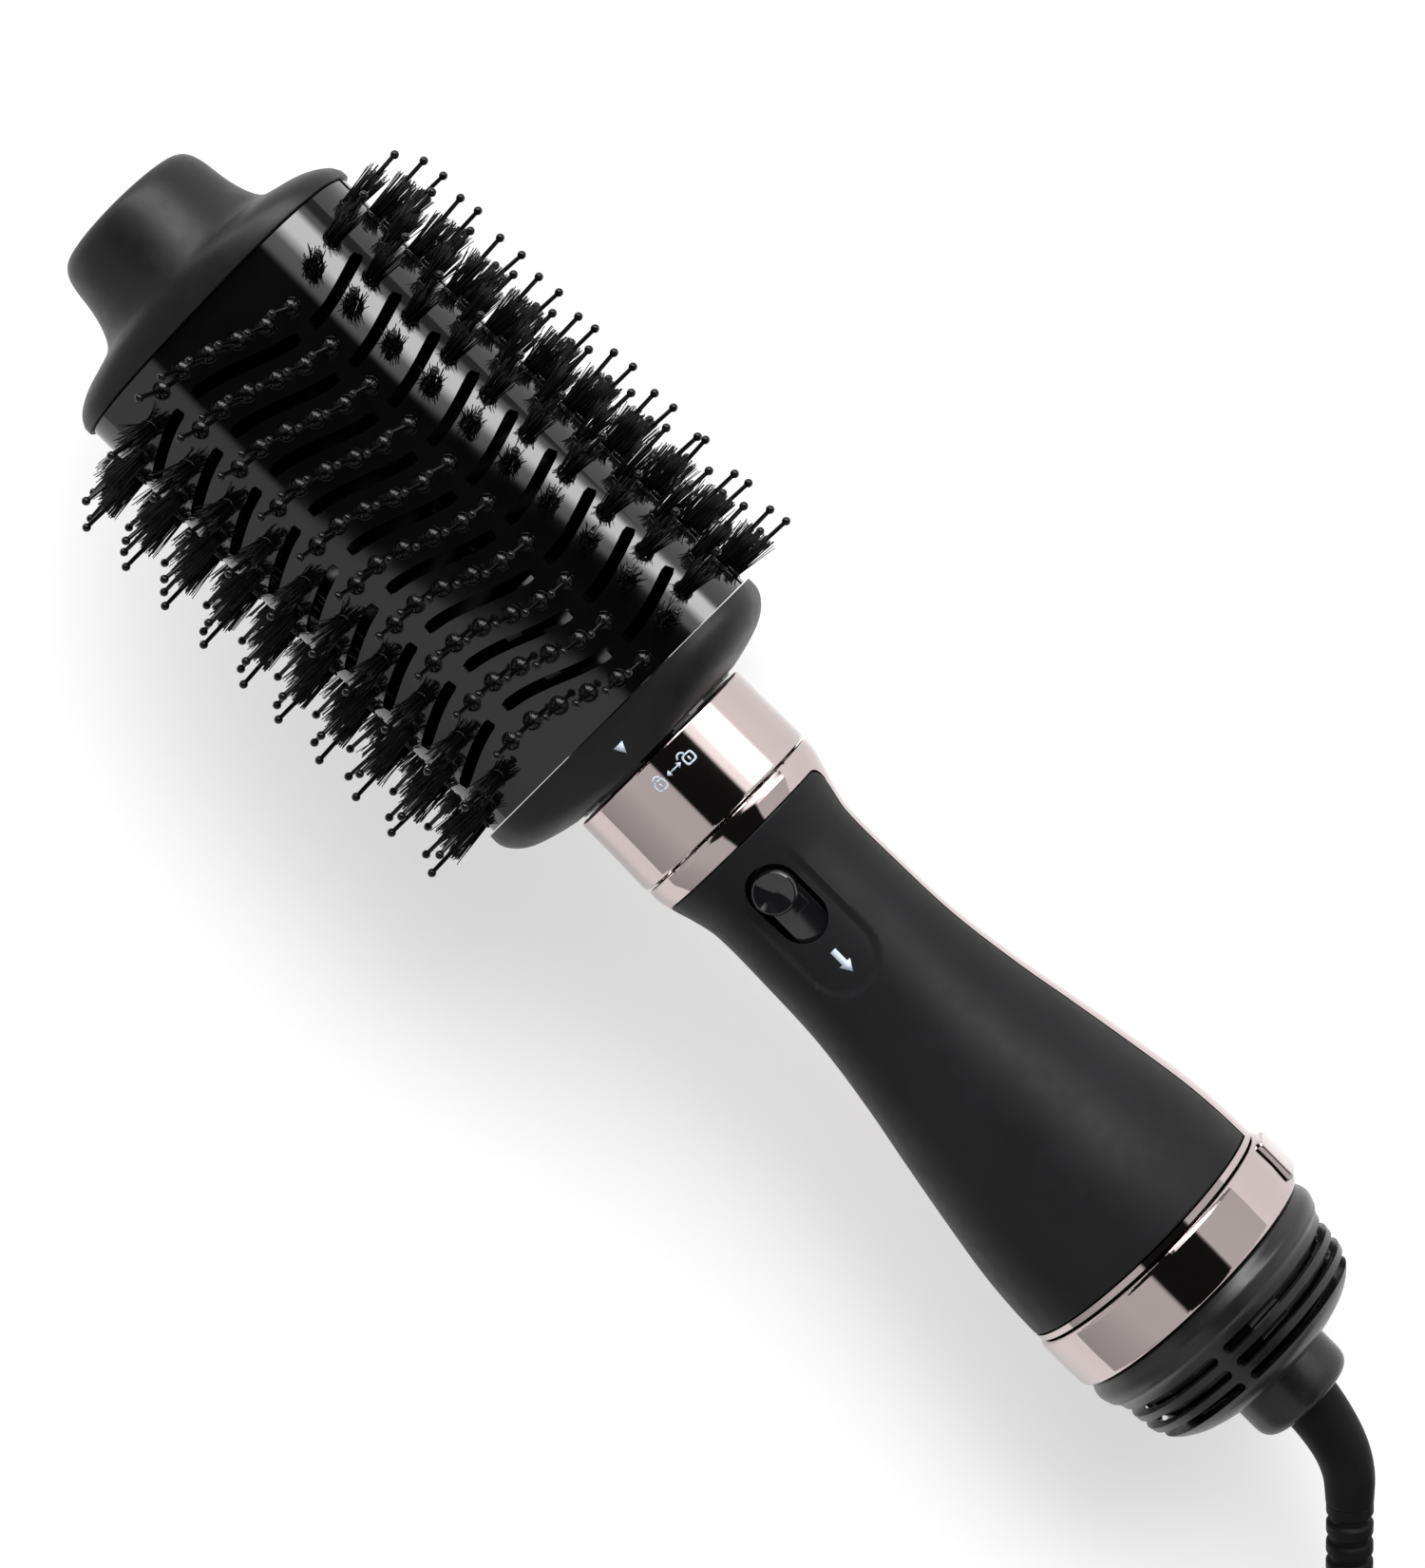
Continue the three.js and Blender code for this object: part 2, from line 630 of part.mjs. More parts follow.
function strainRelief() {
  const path = smooth([onAxis(353.8), onAxis(363), onAxis(372), ...RELIEF_ROUTE.map(vector)]);
  const total = path.getLength();
  const ribs = [];
  for (let d = total - 25; d < total - 2; d += 5) {
    ribs.push([d, 5.3], [d + 3.4, 5.1], [d + 3.4, 4.5], [d + 5, 4.5]);
  }
  const profile = [
    [0, 0], [0, 9.2], [2.6, 9.2], [2.6, 7], [18.5, 7], [22, 6.6], [total - 26, 5.4], ...ribs,
    [total, 4.4], [total, 0],
  ];
  return bentSleeve(path, profile, 10);
}

function coilPoint(angle, radius, height) {
  return new THREE.Vector3(COIL.x + radius * Math.cos(angle), COIL.y + radius * Math.sin(angle), height);
}

const COIL_OUTER = COIL.outerTurn + CORD_RADIUS;
const COIL_INNER = COIL.outerTurn - (2 * COIL.turns + 1) * CORD_RADIUS;
const COIL_HEIGHT = 2 * CORD_RADIUS * COIL.layers;

function cordCoil() {
  const corner = 1.5;
  const ring = [
    [COIL_INNER, corner], [COIL_INNER + corner, 0], [COIL_OUTER - corner, 0], [COIL_OUTER, corner],
    [COIL_OUTER, COIL_HEIGHT - corner], [COIL_OUTER - corner, COIL_HEIGHT],
    [COIL_INNER + corner, COIL_HEIGHT], [COIL_INNER, COIL_HEIGHT - corner], [COIL_INNER, corner],
  ];
  const geometry = new THREE.LatheGeometry(ring.map(([r, z]) => new THREE.Vector2(r, z)), 24);
  geometry.rotateX(Math.PI / 2).translate(COIL.x, COIL.y, 0);
  const routes = [LEAD_ROUTE, TAIL_ROUTE]
    .map((route) => tube(smooth(route.map(vector)), CORD_RADIUS + GAP, 10));
  return cutBy(solid(geometry), routes);
}

function cordTie() {
  const half = (COIL_OUTER - COIL_INNER) / 2;
  const middle = (COIL_OUTER + COIL_INNER) / 2;
  const arch = (inner, outer, foot, top) => new THREE.Shape([
    [-half - inner, foot], [half + outer, foot],
    [half + outer, COIL_HEIGHT + top], [-half - inner, COIL_HEIGHT + top],
  ].map(([r, z]) => new THREE.Vector2(r, z)));
  const strap = solid(new THREE.ExtrudeGeometry(arch(2.6, 1.6, 0, 1.5), { depth: 12, bevelEnabled: false }));
  const hole = arch(1.5, 0.5, -1, 0.4);
  const core = solid(new THREE.ExtrudeGeometry(hole, { depth: 14, bevelEnabled: false }).translate(0, 0, -1));
  const bridge = strap.subtract(core).translate([0, 0, -6]).rotate([90, 0, 0]);
  return bridge.translate([middle, 0, 0]).rotate([0, 0, COIL.tieAngle]).translate([COIL.x, COIL.y, 0]);
}

function cordTube(route) {
  const points = route.map(vector);
  const end = points.at(-1);
  end.addScaledVector(points.at(-2).clone().sub(end).normalize(), GAP);
  return tube(smooth(points), CORD_RADIUS, Math.ceil(smooth(points).getLength() / 9));
}

// Plug with a built-in leakage breaker, drawn with its face at x = 0 and its blades towards -x

const PLUG = { length: 46, width: 42, height: 27, blade: 16, pitch: 12.7 };

function plugPlaced(body) {
  return body.rotate([0, 0, PLUG_TURN_DEG]).translate([PLUG_PLACE[0], PLUG_PLACE[1], 0]);
}

function plugBody() {
  const { length, width, height } = PLUG;
  const half = width / 2;
  const shape = new THREE.Shape([
    [0, -half], [length - 12, -half], [length, -10], [length, 10], [length - 12, half], [0, half],
  ].map(([x, y]) => new THREE.Vector2(x, y)));
  const options = {
    depth: height - 3, bevelEnabled: true, bevelSize: 1.5, bevelThickness: 1.5, bevelSegments: 1, bevelOffset: -1.5,
  };
  const shell = solid(new THREE.ExtrudeGeometry(shape, options).translate(0, 0, 1.5));
  const entry = solid(new THREE.CylinderGeometry(CORD_RADIUS + GAP, CORD_RADIUS + GAP, 12, 10)
    .rotateZ(Math.PI / 2).translate(length, 0, height / 2));
  const wells = [-1, 1].map((side) => solid(new THREE.BoxGeometry(9.6, 6.6, 6)
    .translate(15 + side * 7, 0, height)));
  const bladeWells = [-1, 1].map((side) => solid(new THREE.BoxGeometry(12, 2.2, 7)
    .translate(0, side * PLUG.pitch / 2, height / 2)));
  return cutBy(shell, [entry, ...wells, ...bladeWells]);
}

function plugBlade(side) {
  const blade = new THREE.BoxGeometry(PLUG.blade + 5, 1.5, 6.3);
  return solid(blade.translate((5 - PLUG.blade) / 2, side * PLUG.pitch / 2, PLUG.height / 2));
}

function plugButton(side) {
  return solid(new THREE.BoxGeometry(9, 6, 3).translate(15 + side * 7, 0, PLUG.height - 0.4));
}

function buildCordSet(group) {
  addPart(group, 'strain_relief', strainRelief(), NYLON);
  addPart(group, 'cord_lead', cordTube(LEAD_ROUTE), NYLON);
  addPart(group, 'cord_coil', cordCoil(), NYLON);
  addPart(group, 'cord_tail', cordTube(TAIL_ROUTE), NYLON);
  addPart(group, 'cord_tie', cordTie(), NYLON);
  addPart(group, 'plug_body', plugPlaced(plugBody()), NYLON);
  addPart(group, 'plug_blade_left', plugPlaced(plugBlade(-1)), BRASS);
  addPart(group, 'plug_blade_right', plugPlaced(plugBlade(1)), BRASS);
  addPart(group, 'test_button', plugPlaced(plugButton(-1)), RED_PLASTIC);
  addPart(group, 'reset_button', plugPlaced(plugButton(1)), NYLON);
}

const airBrush = new THREE.Group();
airBrush.add(tool);
buildCordSet(airBrush);

export default airBrush;
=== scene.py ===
"""Looks of the hot air brush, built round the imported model. Metres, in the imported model's frame.

Stations, written s, run from the cool tip towards the cord, in millimetres on the tool's own axis.
In the tool's frame x is minus the station, y is lateral and z points out of the front face.
"""
import json
import math
import random

import bmesh
import bpy
import numpy as np
from mathutils import Matrix, Vector

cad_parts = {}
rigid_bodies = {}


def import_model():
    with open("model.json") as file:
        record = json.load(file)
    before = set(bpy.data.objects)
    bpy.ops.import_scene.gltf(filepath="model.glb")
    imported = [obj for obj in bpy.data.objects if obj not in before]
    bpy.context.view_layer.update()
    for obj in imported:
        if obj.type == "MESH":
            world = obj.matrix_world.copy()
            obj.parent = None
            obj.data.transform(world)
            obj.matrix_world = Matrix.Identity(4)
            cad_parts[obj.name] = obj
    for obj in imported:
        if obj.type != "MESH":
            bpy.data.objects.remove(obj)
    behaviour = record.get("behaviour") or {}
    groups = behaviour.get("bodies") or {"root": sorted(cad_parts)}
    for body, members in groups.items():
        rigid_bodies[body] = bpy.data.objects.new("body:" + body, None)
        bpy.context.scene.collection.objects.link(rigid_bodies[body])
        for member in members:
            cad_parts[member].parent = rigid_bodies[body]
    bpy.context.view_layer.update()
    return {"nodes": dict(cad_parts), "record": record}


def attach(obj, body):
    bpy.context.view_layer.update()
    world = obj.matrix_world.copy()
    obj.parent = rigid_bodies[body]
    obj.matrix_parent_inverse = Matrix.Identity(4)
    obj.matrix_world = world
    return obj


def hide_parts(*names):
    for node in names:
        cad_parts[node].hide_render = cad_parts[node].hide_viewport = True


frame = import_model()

MM = 0.001
PI = math.pi
random.seed(7)

# The tool's place: the lowest bristles rest on the table, and the axis leans a little
TILT = math.radians(3.04)
TOOL = Matrix.Translation((0.1850852, 0.0, 0.0505929)) @ Matrix.Rotation(-TILT, 4, "Y")
TURNED_OVER = Matrix.Rotation(PI, 4, "X")

# Direction from the tool to the main camera, and the tool's axis as the camera's roll and the sky use it
VIEW_OUT = Vector((-0.022, -0.225, 0.974)).normalized()
HEAD_WAY = Vector((0.99859, 0.0, 0.05303))

# Head
BARREL = {"start": 30.4, "end": 154.2, "half_width": 39.0, "half_depth": 25.0, "wall": 1.8, "power": 2.55}
COLUMNS = 10
COLUMN_PITCH = 11.83
FIRST_COLUMN = 40.4
WAVE_HEIGHT = 3.95
WAVE_LENGTH = 62.0
WAVE_SHIFT = 1.8
PIN_ROWS = (-16.5, -9.9, -3.3, 3.3, 9.9, 16.5)
PIN_TIP = 42.4
SLOT_WIDTH = 2.7
SLOT_SPANS = ((-33.6, -16.8), (-13.2, 12.4), (16.8, 33.6))
SEAM_HALF = 1.2
RAIL_OVERHANG = 6.5
# Side tufts on the -y side: place on the barrel in degrees from the side, lean from the front, station offset
TUFTS = (
    (54, 20, 1.3), (38, 53, -0.6), (15, 78, -3.8), (0, 90, 0.6),
    (-15, 102, 3.8), (-38, 127, 2.0), (-54, 160, -0.4),
)
TUFT_LENGTH = 10.6
TUFT_PIN = 17.1
BRISTLES = 62

# Handle
COVER = {"start": 193.9, "end": 317.5, "angle": math.radians(84), "corner": 6.0, "wall": 2.2}
SWITCH = {"start": 199.9, "end": 220.5, "half_width": 6.05, "knob": 206.5}
SCOOP = {"start": 199.0, "end": 235.5, "half_width": 9.4, "depth": 1.15}
HANDLE_OUTLINE = (
    (187.9, 24.1), (191, 24.1), (195.2, 23.0), (200.2, 21.5), (206, 20.4), (222, 20.5), (238, 21.2),
    (255, 23.5), (270, 26.3), (285, 29.0), (300, 31.4), (310, 32.3), (319.5, 32.6),
)

SCREWS = ((216, 20.4), (309.5, 31.9))

# Cord set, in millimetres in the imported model's frame
CORD_RADIUS = 3.5
COIL = {
    "x": -298.0, "y": -3.0, "outer_turn": 54.0, "turns": 3.5, "low": 3.5, "high": 10.5,
    "tie": math.radians(200),
}
RELIEF_ROUTE = (
    (-196, 1.8, 30.2), (-203, 5, 29), (-208.5, 9.8, 27.6), (-214, 15.2, 25.8), (-220.5, 21.7, 23.2),
    (-226.5, 27.7, 20.4),
)
LEAD_ROUTE = (
    (-226.8, 28, 20.25), (-231.5, 32.7, 17.6), (-237, 37.8, 13.9), (-243.5, 42.6, 9.8), (-251, 46.6, 6.4),
    (-260, 49.6, 4.3), (-271, 51, 3.55), (-284, 51.2, 3.5), (-298, 51, 3.5),
)
TAIL_ROUTE = (
    (-298, 51, 10.5), (-310, 51, 10.7), (-324, 50.4, 11.4), (-338, 48.2, 12.4), (-351, 44, 13.2),
    (-363, 39.6, 13.5), (-372.2, 38, 13.5),
)
PLUG_PLACE = Matrix.Scale(MM, 4) @ Matrix.Translation((-418.5, 38.0, 0))
PLUG = {"length": 46.0, "width": 42.0, "height": 27.0, "pitch": 12.7, "blade": 16.0}


# ---------------------------------------------------------------- camera

def add_camera():
    """Looks down on the tool from its -y side, with the tip at the upper left."""
    target = Vector((0.0044, -0.0027, 0.0409))
    out = VIEW_OUT
    head = (HEAD_WAY - HEAD_WAY.dot(out) * out).normalized()
    side = out.cross(head)
    turn = math.radians(134.9)
    right = math.cos(-turn) * head + math.sin(-turn) * side
    up = math.cos(PI / 2 - turn) * head + math.sin(PI / 2 - turn) * side
    data = bpy.data.cameras.new("camera")
    data.sensor_fit = "VERTICAL"
    data.sensor_height = 36
    data.lens = 104.14
    data.clip_start = 0.05
    camera = bpy.data.objects.new("camera", data)
    basis = Matrix((right, up, out)).transposed().to_4x4()
    camera.matrix_world = Matrix.Translation(target + out) @ basis
    bpy.context.scene.collection.objects.link(camera)
    bpy.context.scene.camera = camera


add_camera()


# ---------------------------------------------------------------- mesh helpers

def new_object(name, vertices, faces, sharp=32, scale=MM, matrix=TOOL):
    """A shaded mesh object from points in millimetres, in the tool's frame unless matrix is None."""
    mesh = bpy.data.meshes.new(name)
    points = [Vector(v) * scale for v in vertices]
    if matrix is not None:
        points = [matrix @ p for p in points]
    mesh.from_pydata([tuple(p) for p in points], [], faces)
    mesh.validate()
    mesh.update()
    mesh.shade_smooth()
    if sharp:
        mesh.set_sharp_from_angle(angle=math.radians(sharp))
    thing = bpy.data.objects.new(name, mesh)
    bpy.context.scene.collection.objects.link(thing)
    return thing


def rounded(rows, steps=5, share=0.5, reach=1.6, closed=False):
    """Rows of numbers with each corner turned into a short curve."""
    rows = [np.array(r, float) for r in rows]
    count = len(rows)
    result = []
    for i, corner in enumerate(rows):
        if not closed and i in (0, count - 1):
            result.append(corner)
            continue
        before, after = rows[i - 1], rows[(i + 1) % count]
        arms = []
        for other in (before, after):
            length = np.linalg.norm(other[:2] - corner[:2])
            arms.append(corner + (other - corner) * min(share, reach / max(length, 1e-6)))
        for k in range(steps + 1):
            t = k / steps
            result.append((1 - t) ** 2 * arms[0] + 2 * t * (1 - t) * corner + t ** 2 * arms[1])
    return result


def grid_faces(rows, columns, close_rows, close_columns):
    """Quads of a grid whose vertex i, j has the number i * columns + j."""
    faces = []
    for i in range(rows if close_rows else rows - 1):
        for j in range(columns if close_columns else columns - 1):
            a, b = i, (i + 1) % rows
            c, d = j, (j + 1) % columns
            faces.append((a * columns + c, a * columns + d, b * columns + d, b * columns + c))
    return faces


def tube_faces(rows, columns):
    """Faces of rings of vertices, closed at both ends."""
    faces = grid_faces(rows, columns, False, True)
    faces.append(tuple(range(columns - 1, -1, -1)))
    faces.append(tuple(range((rows - 1) * columns, rows * columns)))
    return faces


def turned(name, rows, segments=128):
    """A closed body turned about the tool's axis, from a loop of [station, radius] rows."""
    vertices = []
    for s, r in rows:
        for j in range(segments):
            angle = 2 * PI * j / segments
            vertices.append((-s, r * math.cos(angle), r * math.sin(angle)))
    return new_object(name, vertices, grid_faces(len(rows), segments, True, True))


def capped(name, rows, segments, place):
    """A solid body turned about an axis, from open [height, radius] rows, closed by flat ends."""
    vertices = []
    for s, r in rows:
        for j in range(segments):
            angle = 2 * PI * j / segments
            point = Vector((-s, r * math.cos(angle), r * math.sin(angle)))
            vertices.append(place @ point)
    return new_object(name, vertices, tube_faces(len(rows), segments))


def oval(angle, half_width, half_depth):
    """A point of the head's section: round near its ends, squared off where it is wide."""
    t = min(max((half_width - half_depth) / 14, 0), 1)
    power = 2 + (BARREL["power"] - 2) * (t * t * (3 - 2 * t))

    def bend(value):
        return math.copysign(abs(value) ** (2 / power), value)

    return half_width * bend(math.cos(angle)), half_depth * bend(math.sin(angle))


def oval_turned(name, rows, segments=160):
    """A closed body of oval section, from a loop of [station, half width, half depth] rows."""
    vertices = []
    for s, a, b in rows:
        for j in range(segments):
            y, z = oval(2 * PI * (j + 0.5) / segments, a, b)
            vertices.append((-s, y, z))
    return new_object(name, vertices, grid_faces(len(rows), segments, True, True))


def prism(name, outline, low, high, axis="z"):
    """A straight body from an outline: of [station, y] through the front, or of [y, z] along the tool."""
    count = len(outline)
    vertices = []
    for level in (low, high):
        for a, b in outline:
            vertices.append((-a, b, level) if axis == "z" else (-level, a, b))
    faces = [tuple(range(count)), tuple(range(2 * count - 1, count - 1, -1))]
    for i in range(count):
        j = (i + 1) % count
        faces.append((i, i + count, j + count, j))
    return new_object(name, vertices, faces, sharp=0)


def outward(thing):
    """Turns a closed body's faces outward."""
    shape = bmesh.new()
    shape.from_mesh(thing.data)
    bmesh.ops.recalc_face_normals(shape, faces=shape.faces)
    shape.to_mesh(thing.data)
    shape.free()
    return thing


def join(things, name):
    """One object from several, keeping their materials."""
    first = things[0]
    if len(things) > 1:
        with bpy.context.temp_override(
            active_object=first, object=first, selected_objects=things, selected_editable_objects=things
        ):
            bpy.ops.object.join()
    first.name = name
    first.data.name = name
    return first


def boolean(thing, tools, operation="DIFFERENCE", sharp=32):
    """thing with the tools taken away or added. The tools of one call mustn't overlap, and are removed."""
    outward(thing)
    for tool in tools:
        outward(tool)
    if len(tools) > 1:
        tools = [join(tools, "cutter")]
    modifier = thing.modifiers.new("cut", "BOOLEAN")
    modifier.operation = operation
    modifier.solver = "MANIFOLD"
    modifier.object = tools[0]
    graph = bpy.context.evaluated_depsgraph_get()
    result = bpy.data.meshes.new_from_object(thing.evaluated_get(graph))
    thing.modifiers.clear()
    thing.data = result
    result.shade_smooth()
    result.set_sharp_from_angle(angle=math.radians(sharp))
    bpy.data.objects.remove(tools[0])
    return thing


def true_normals(thing, surface_normal, tolerance=24):
    """Shades a cut body by the surface that it was cut from, wherever its faces lie on that surface."""
    mesh = thing.data
    back = TOOL.inverted()
    turn = TOOL.to_3x3()
    limit = math.cos(math.radians(tolerance))
    normals = []
    places = [back @ v.co / MM for v in mesh.vertices]
    corner = [n.vector.copy() for n in mesh.corner_normals]
    for face in mesh.polygons:
        for index in face.loop_indices:
            wanted = turn @ surface_normal(places[mesh.loops[index].vertex_index])
            if wanted.dot(face.normal) > limit:
                normals.append(wanted)
            elif -wanted.dot(face.normal) > limit:
                normals.append(-wanted)
            else:
                normals.append(face.normal.copy() if face.area > 0 else corner[index])
    mesh.normals_split_custom_set(normals)
    return thing


def instances(name, template, places):
    """One mesh from a template's (vertices, faces) set at each 4x4 place."""
    base, faces = template
    points = np.array([(*v, 1.0) for v in base])
    vertices = []
    all_faces = []
    for k, place in enumerate(places):
        moved = points @ np.array(place).T
        vertices.extend(moved[:, :3].tolist())
        offset = k * len(base)
        all_faces.extend(tuple(i + offset for i in face) for face in faces)
    return new_object(name, vertices, all_faces, sharp=40)


def lathe_template(rows, segments):
    """(vertices, faces) of a body turned about z from [height, radius] rows, closed at both ends."""
    vertices = []
    for h, r in rows:
        for j in range(segments):
            angle = 2 * PI * j / segments
            vertices.append((r * math.cos(angle), r * math.sin(angle), h))
    return vertices, tube_faces(len(rows), segments)


def aim(point, direction):
    """A 4x4 place at point with its z along direction."""
    turn = Vector((0, 0, 1)).rotation_difference(Vector(direction)).to_matrix().to_4x4()
    return Matrix.Translation(point) @ turn


def hermite(t, a, b, m0, m1):
    """The smooth curve from a to b with slopes m0 and m1, at t between 0 and 1."""
    return ((2 * t ** 3 - 3 * t ** 2 + 1) * a + (t ** 3 - 2 * t ** 2 + t) * m0
            + (-2 * t ** 3 + 3 * t ** 2) * b + (t ** 3 - t ** 2) * m1)


def spline(points, per_step):
    """A smooth line through points."""
    points = [Vector(p) for p in points]
    line = []
    for i in range(len(points) - 1):
        before = points[max(i - 1, 0)]
        after = points[min(i + 2, len(points) - 1)]
        a, b = points[i], points[i + 1]
        for k in range(per_step):
            line.append(hermite(k / per_step, a, b, (b - before) / 2, (after - a) / 2))
    line.append(points[-1])
    return line


def sweep(name, line, radii, segments, sharp=40):
    """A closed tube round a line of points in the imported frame, in millimetres."""
    tangents = []
    for i in range(len(line)):
        tangents.append((line[min(i + 1, len(line) - 1)] - line[max(i - 1, 0)]).normalized())
    side = tangents[0].orthogonal().normalized()
    vertices = []
    for i, (point, forward) in enumerate(zip(line, tangents)):
        if i:
            side = tangents[i - 1].rotation_difference(forward) @ side
        side = (side - side.dot(forward) * forward).normalized()
        other = forward.cross(side)
        for j in range(segments):
            angle = 2 * PI * j / segments
            vertices.append(point + radii[i] * (math.cos(angle) * side + math.sin(angle) * other))
    return outward(new_object(name, vertices, tube_faces(len(line), segments), sharp, matrix=None))


# ---------------------------------------------------------------- materials

class Nodes:
    """A material's node tree, with short calls for the nodes used here."""

    def __init__(self, name):
        self.material = bpy.data.materials.new(name)
        self.material.use_nodes = True
        self.tree = self.material.node_tree
        self.tree.nodes.clear()
        self.shader = self.add("ShaderNodeBsdfPrincipled")
        out = self.add("ShaderNodeOutputMaterial")
        self.link(self.shader.outputs[0], out.inputs["Surface"])
        self.place = self.add("ShaderNodeTexCoord").outputs["Object"]
        self.bump_from = None

    def add(self, kind):
        return self.tree.nodes.new(kind)

    def link(self, a, b):
        self.tree.links.new(a, b)

    def noise(self, scale, detail=3.0):
        node = self.add("ShaderNodeTexNoise")
        node.inputs["Scale"].default_value = scale
        node.inputs["Detail"].default_value = detail
        node.inputs["Roughness"].default_value = 0.55
        self.link(self.place, node.inputs["Vector"])
        return node.outputs[0]

    def ramp(self, source, low, high):
        node = self.add("ShaderNodeValToRGB")
        ramp = node.color_ramp
        ramp.elements[0].position = 0.35
        ramp.elements[1].position = 0.65
        ramp.elements[0].color = (*low, 1)
        ramp.elements[1].color = (*high, 1)
        self.link(source, node.inputs[0])
        return node.outputs[0]

    def colour(self, base, spread, scale):
        low = [c * (1 - spread) for c in base]
        high = [min(c * (1 + spread), 1) for c in base]
        self.link(self.ramp(self.noise(scale), low, high), self.shader.inputs["Base Color"])

    def roughness(self, low, high, scale):
        node = self.add("ShaderNodeMapRange")
        node.inputs["From Min"].default_value = 0.3
        node.inputs["From Max"].default_value = 0.7
        node.inputs["To Min"].default_value = low
        node.inputs["To Max"].default_value = high
        self.link(self.noise(scale), node.inputs["Value"])
        self.link(node.outputs[0], self.shader.inputs["Roughness"])

    def bump(self, source, distance, strength):
        node = self.add("ShaderNodeBump")
        node.inputs["Strength"].default_value = strength
        node.inputs["Distance"].default_value = distance
        self.link(source, node.inputs["Height"])
        if self.bump_from:
            self.link(self.bump_from, node.inputs["Normal"])
        self.bump_from = node.outputs[0]
        self.link(self.bump_from, self.shader.inputs["Normal"])


def soft_touch(name, base, grain, specular):
    """Rubbery soft-touch coating: charcoal, fine grain, a wide dull gloss."""
    nodes = Nodes(name)
    nodes.colour(base, 0.10, 45)
    nodes.roughness(0.38, 0.48, 260)
    nodes.shader.inputs["Specular IOR Level"].default_value = specular
    nodes.bump(nodes.noise(grain, 2), 0.00003, 0.5)
    nodes.bump(nodes.noise(35, 2), 0.00006, 0.25)
    return nodes.material


def gloss(name, base, rough, flake=0.0, specular=0.5, spread=0.15):
    """Moulded or lacquered gloss plastic with a slight ripple."""
    nodes = Nodes(name)
    nodes.colour(base, spread, 90)
    nodes.roughness(rough * 0.8, rough * 1.25, 140)
    nodes.shader.inputs["Specular IOR Level"].default_value = specular
    nodes.bump(nodes.noise(60, 1), 0.00004, 0.12)
    if flake:
        nodes.bump(nodes.noise(6000, 1), 0.00001, flake)
    return nodes.material


def satin(name, base, low, high, grain=900, depth=0.00004, strength=0.35, specular=0.4):
    """Moulded plastic or rubber with a grain."""
    nodes = Nodes(name)
    nodes.colour(base, 0.18, 80)
    nodes.roughness(low, high, 220)
    nodes.shader.inputs["Specular IOR Level"].default_value = specular
    nodes.bump(nodes.noise(grain, 3), depth, strength)
    return nodes.material


def metal(name, base, low, high, grain=500, strength=0.1, spread=0.05):
    """Bare or plated metal, with its finish in the roughness."""
    nodes = Nodes(name)
    nodes.colour(base, spread, 30)
    nodes.roughness(low, high, 120)
    nodes.shader.inputs["Metallic"].default_value = 1.0
    nodes.bump(nodes.noise(grain, 2), 0.00001, strength)
    return nodes.material


MATERIALS = {
    "soft_touch_black": soft_touch("soft_touch_black", (0.0058, 0.0058, 0.0064), 2200, 0.28),
    "grip_black": soft_touch("grip_black", (0.0118, 0.0118, 0.0128), 2600, 0.09),
    "barrel_black": gloss("barrel_black", (0.0025, 0.0025, 0.0027), 0.055, flake=0.01, specular=0.6),
    "gloss_black": gloss("gloss_black", (0.006, 0.006, 0.007), 0.12, specular=0.75),
    "vent_black": satin("vent_black", (0.010, 0.010, 0.0108), 0.24, 0.34, 900, 0.00003, 0.1, 0.36),
    "rose_chrome": metal("rose_chrome", (0.53, 0.448, 0.442), 0.03, 0.06, 60, 0.02, 0.03),
    "nylon_black": satin("nylon_black", (0.0022, 0.0022, 0.0025), 0.11, 0.17, 900, 0.00003, 0.08, 0.26),
    "bristle_black": satin("bristle_black", (0.0025, 0.0022, 0.002), 0.45, 0.6, 4000, specular=0.2),
    "cord_black": satin("cord_black", (0.006, 0.006, 0.0065), 0.42, 0.55, 1400, 0.00005, 0.4, 0.07),
    "plug_black": satin("plug_black", (0.009, 0.009, 0.0096), 0.38, 0.5, 2600, 0.00006, 0.5, 0.2),
    "signal_red": gloss("signal_red", (0.42, 0.025, 0.02), 0.3),
    "steel": metal("steel", (0.52, 0.53, 0.55), 0.25, 0.4, 900, 0.2),
    "brass": metal("brass", (0.72, 0.53, 0.25), 0.2, 0.35, 700, 0.15),
    "nichrome": metal("nichrome", (0.40, 0.35, 0.31), 0.3, 0.45, 900, 0.2, 0.25),
    "mica": satin("mica", (0.50, 0.43, 0.32), 0.45, 0.65, 300, 0.00008, 0.4),
    "board_green": satin("board_green", (0.02, 0.13, 0.06), 0.25, 0.4, 200, 0.00003, 0.3),
    "print_grey": satin("print_grey", (0.50, 0.57, 0.66), 0.45, 0.6, 3000, 0.00001, 0.2),
}


def finish(thing, body, slot, replaced=(), material=None):
    """Rides a piece on its body, hides the imported pieces that it replaces, and gives it the material of its
    slot.
    """
    thing.data.materials.clear()
    thing.data.materials.append(MATERIALS[material or slot])
    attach(thing, body)
    if replaced:
        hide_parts(*replaced)
    return thing


# ---------------------------------------------------------------- cord set

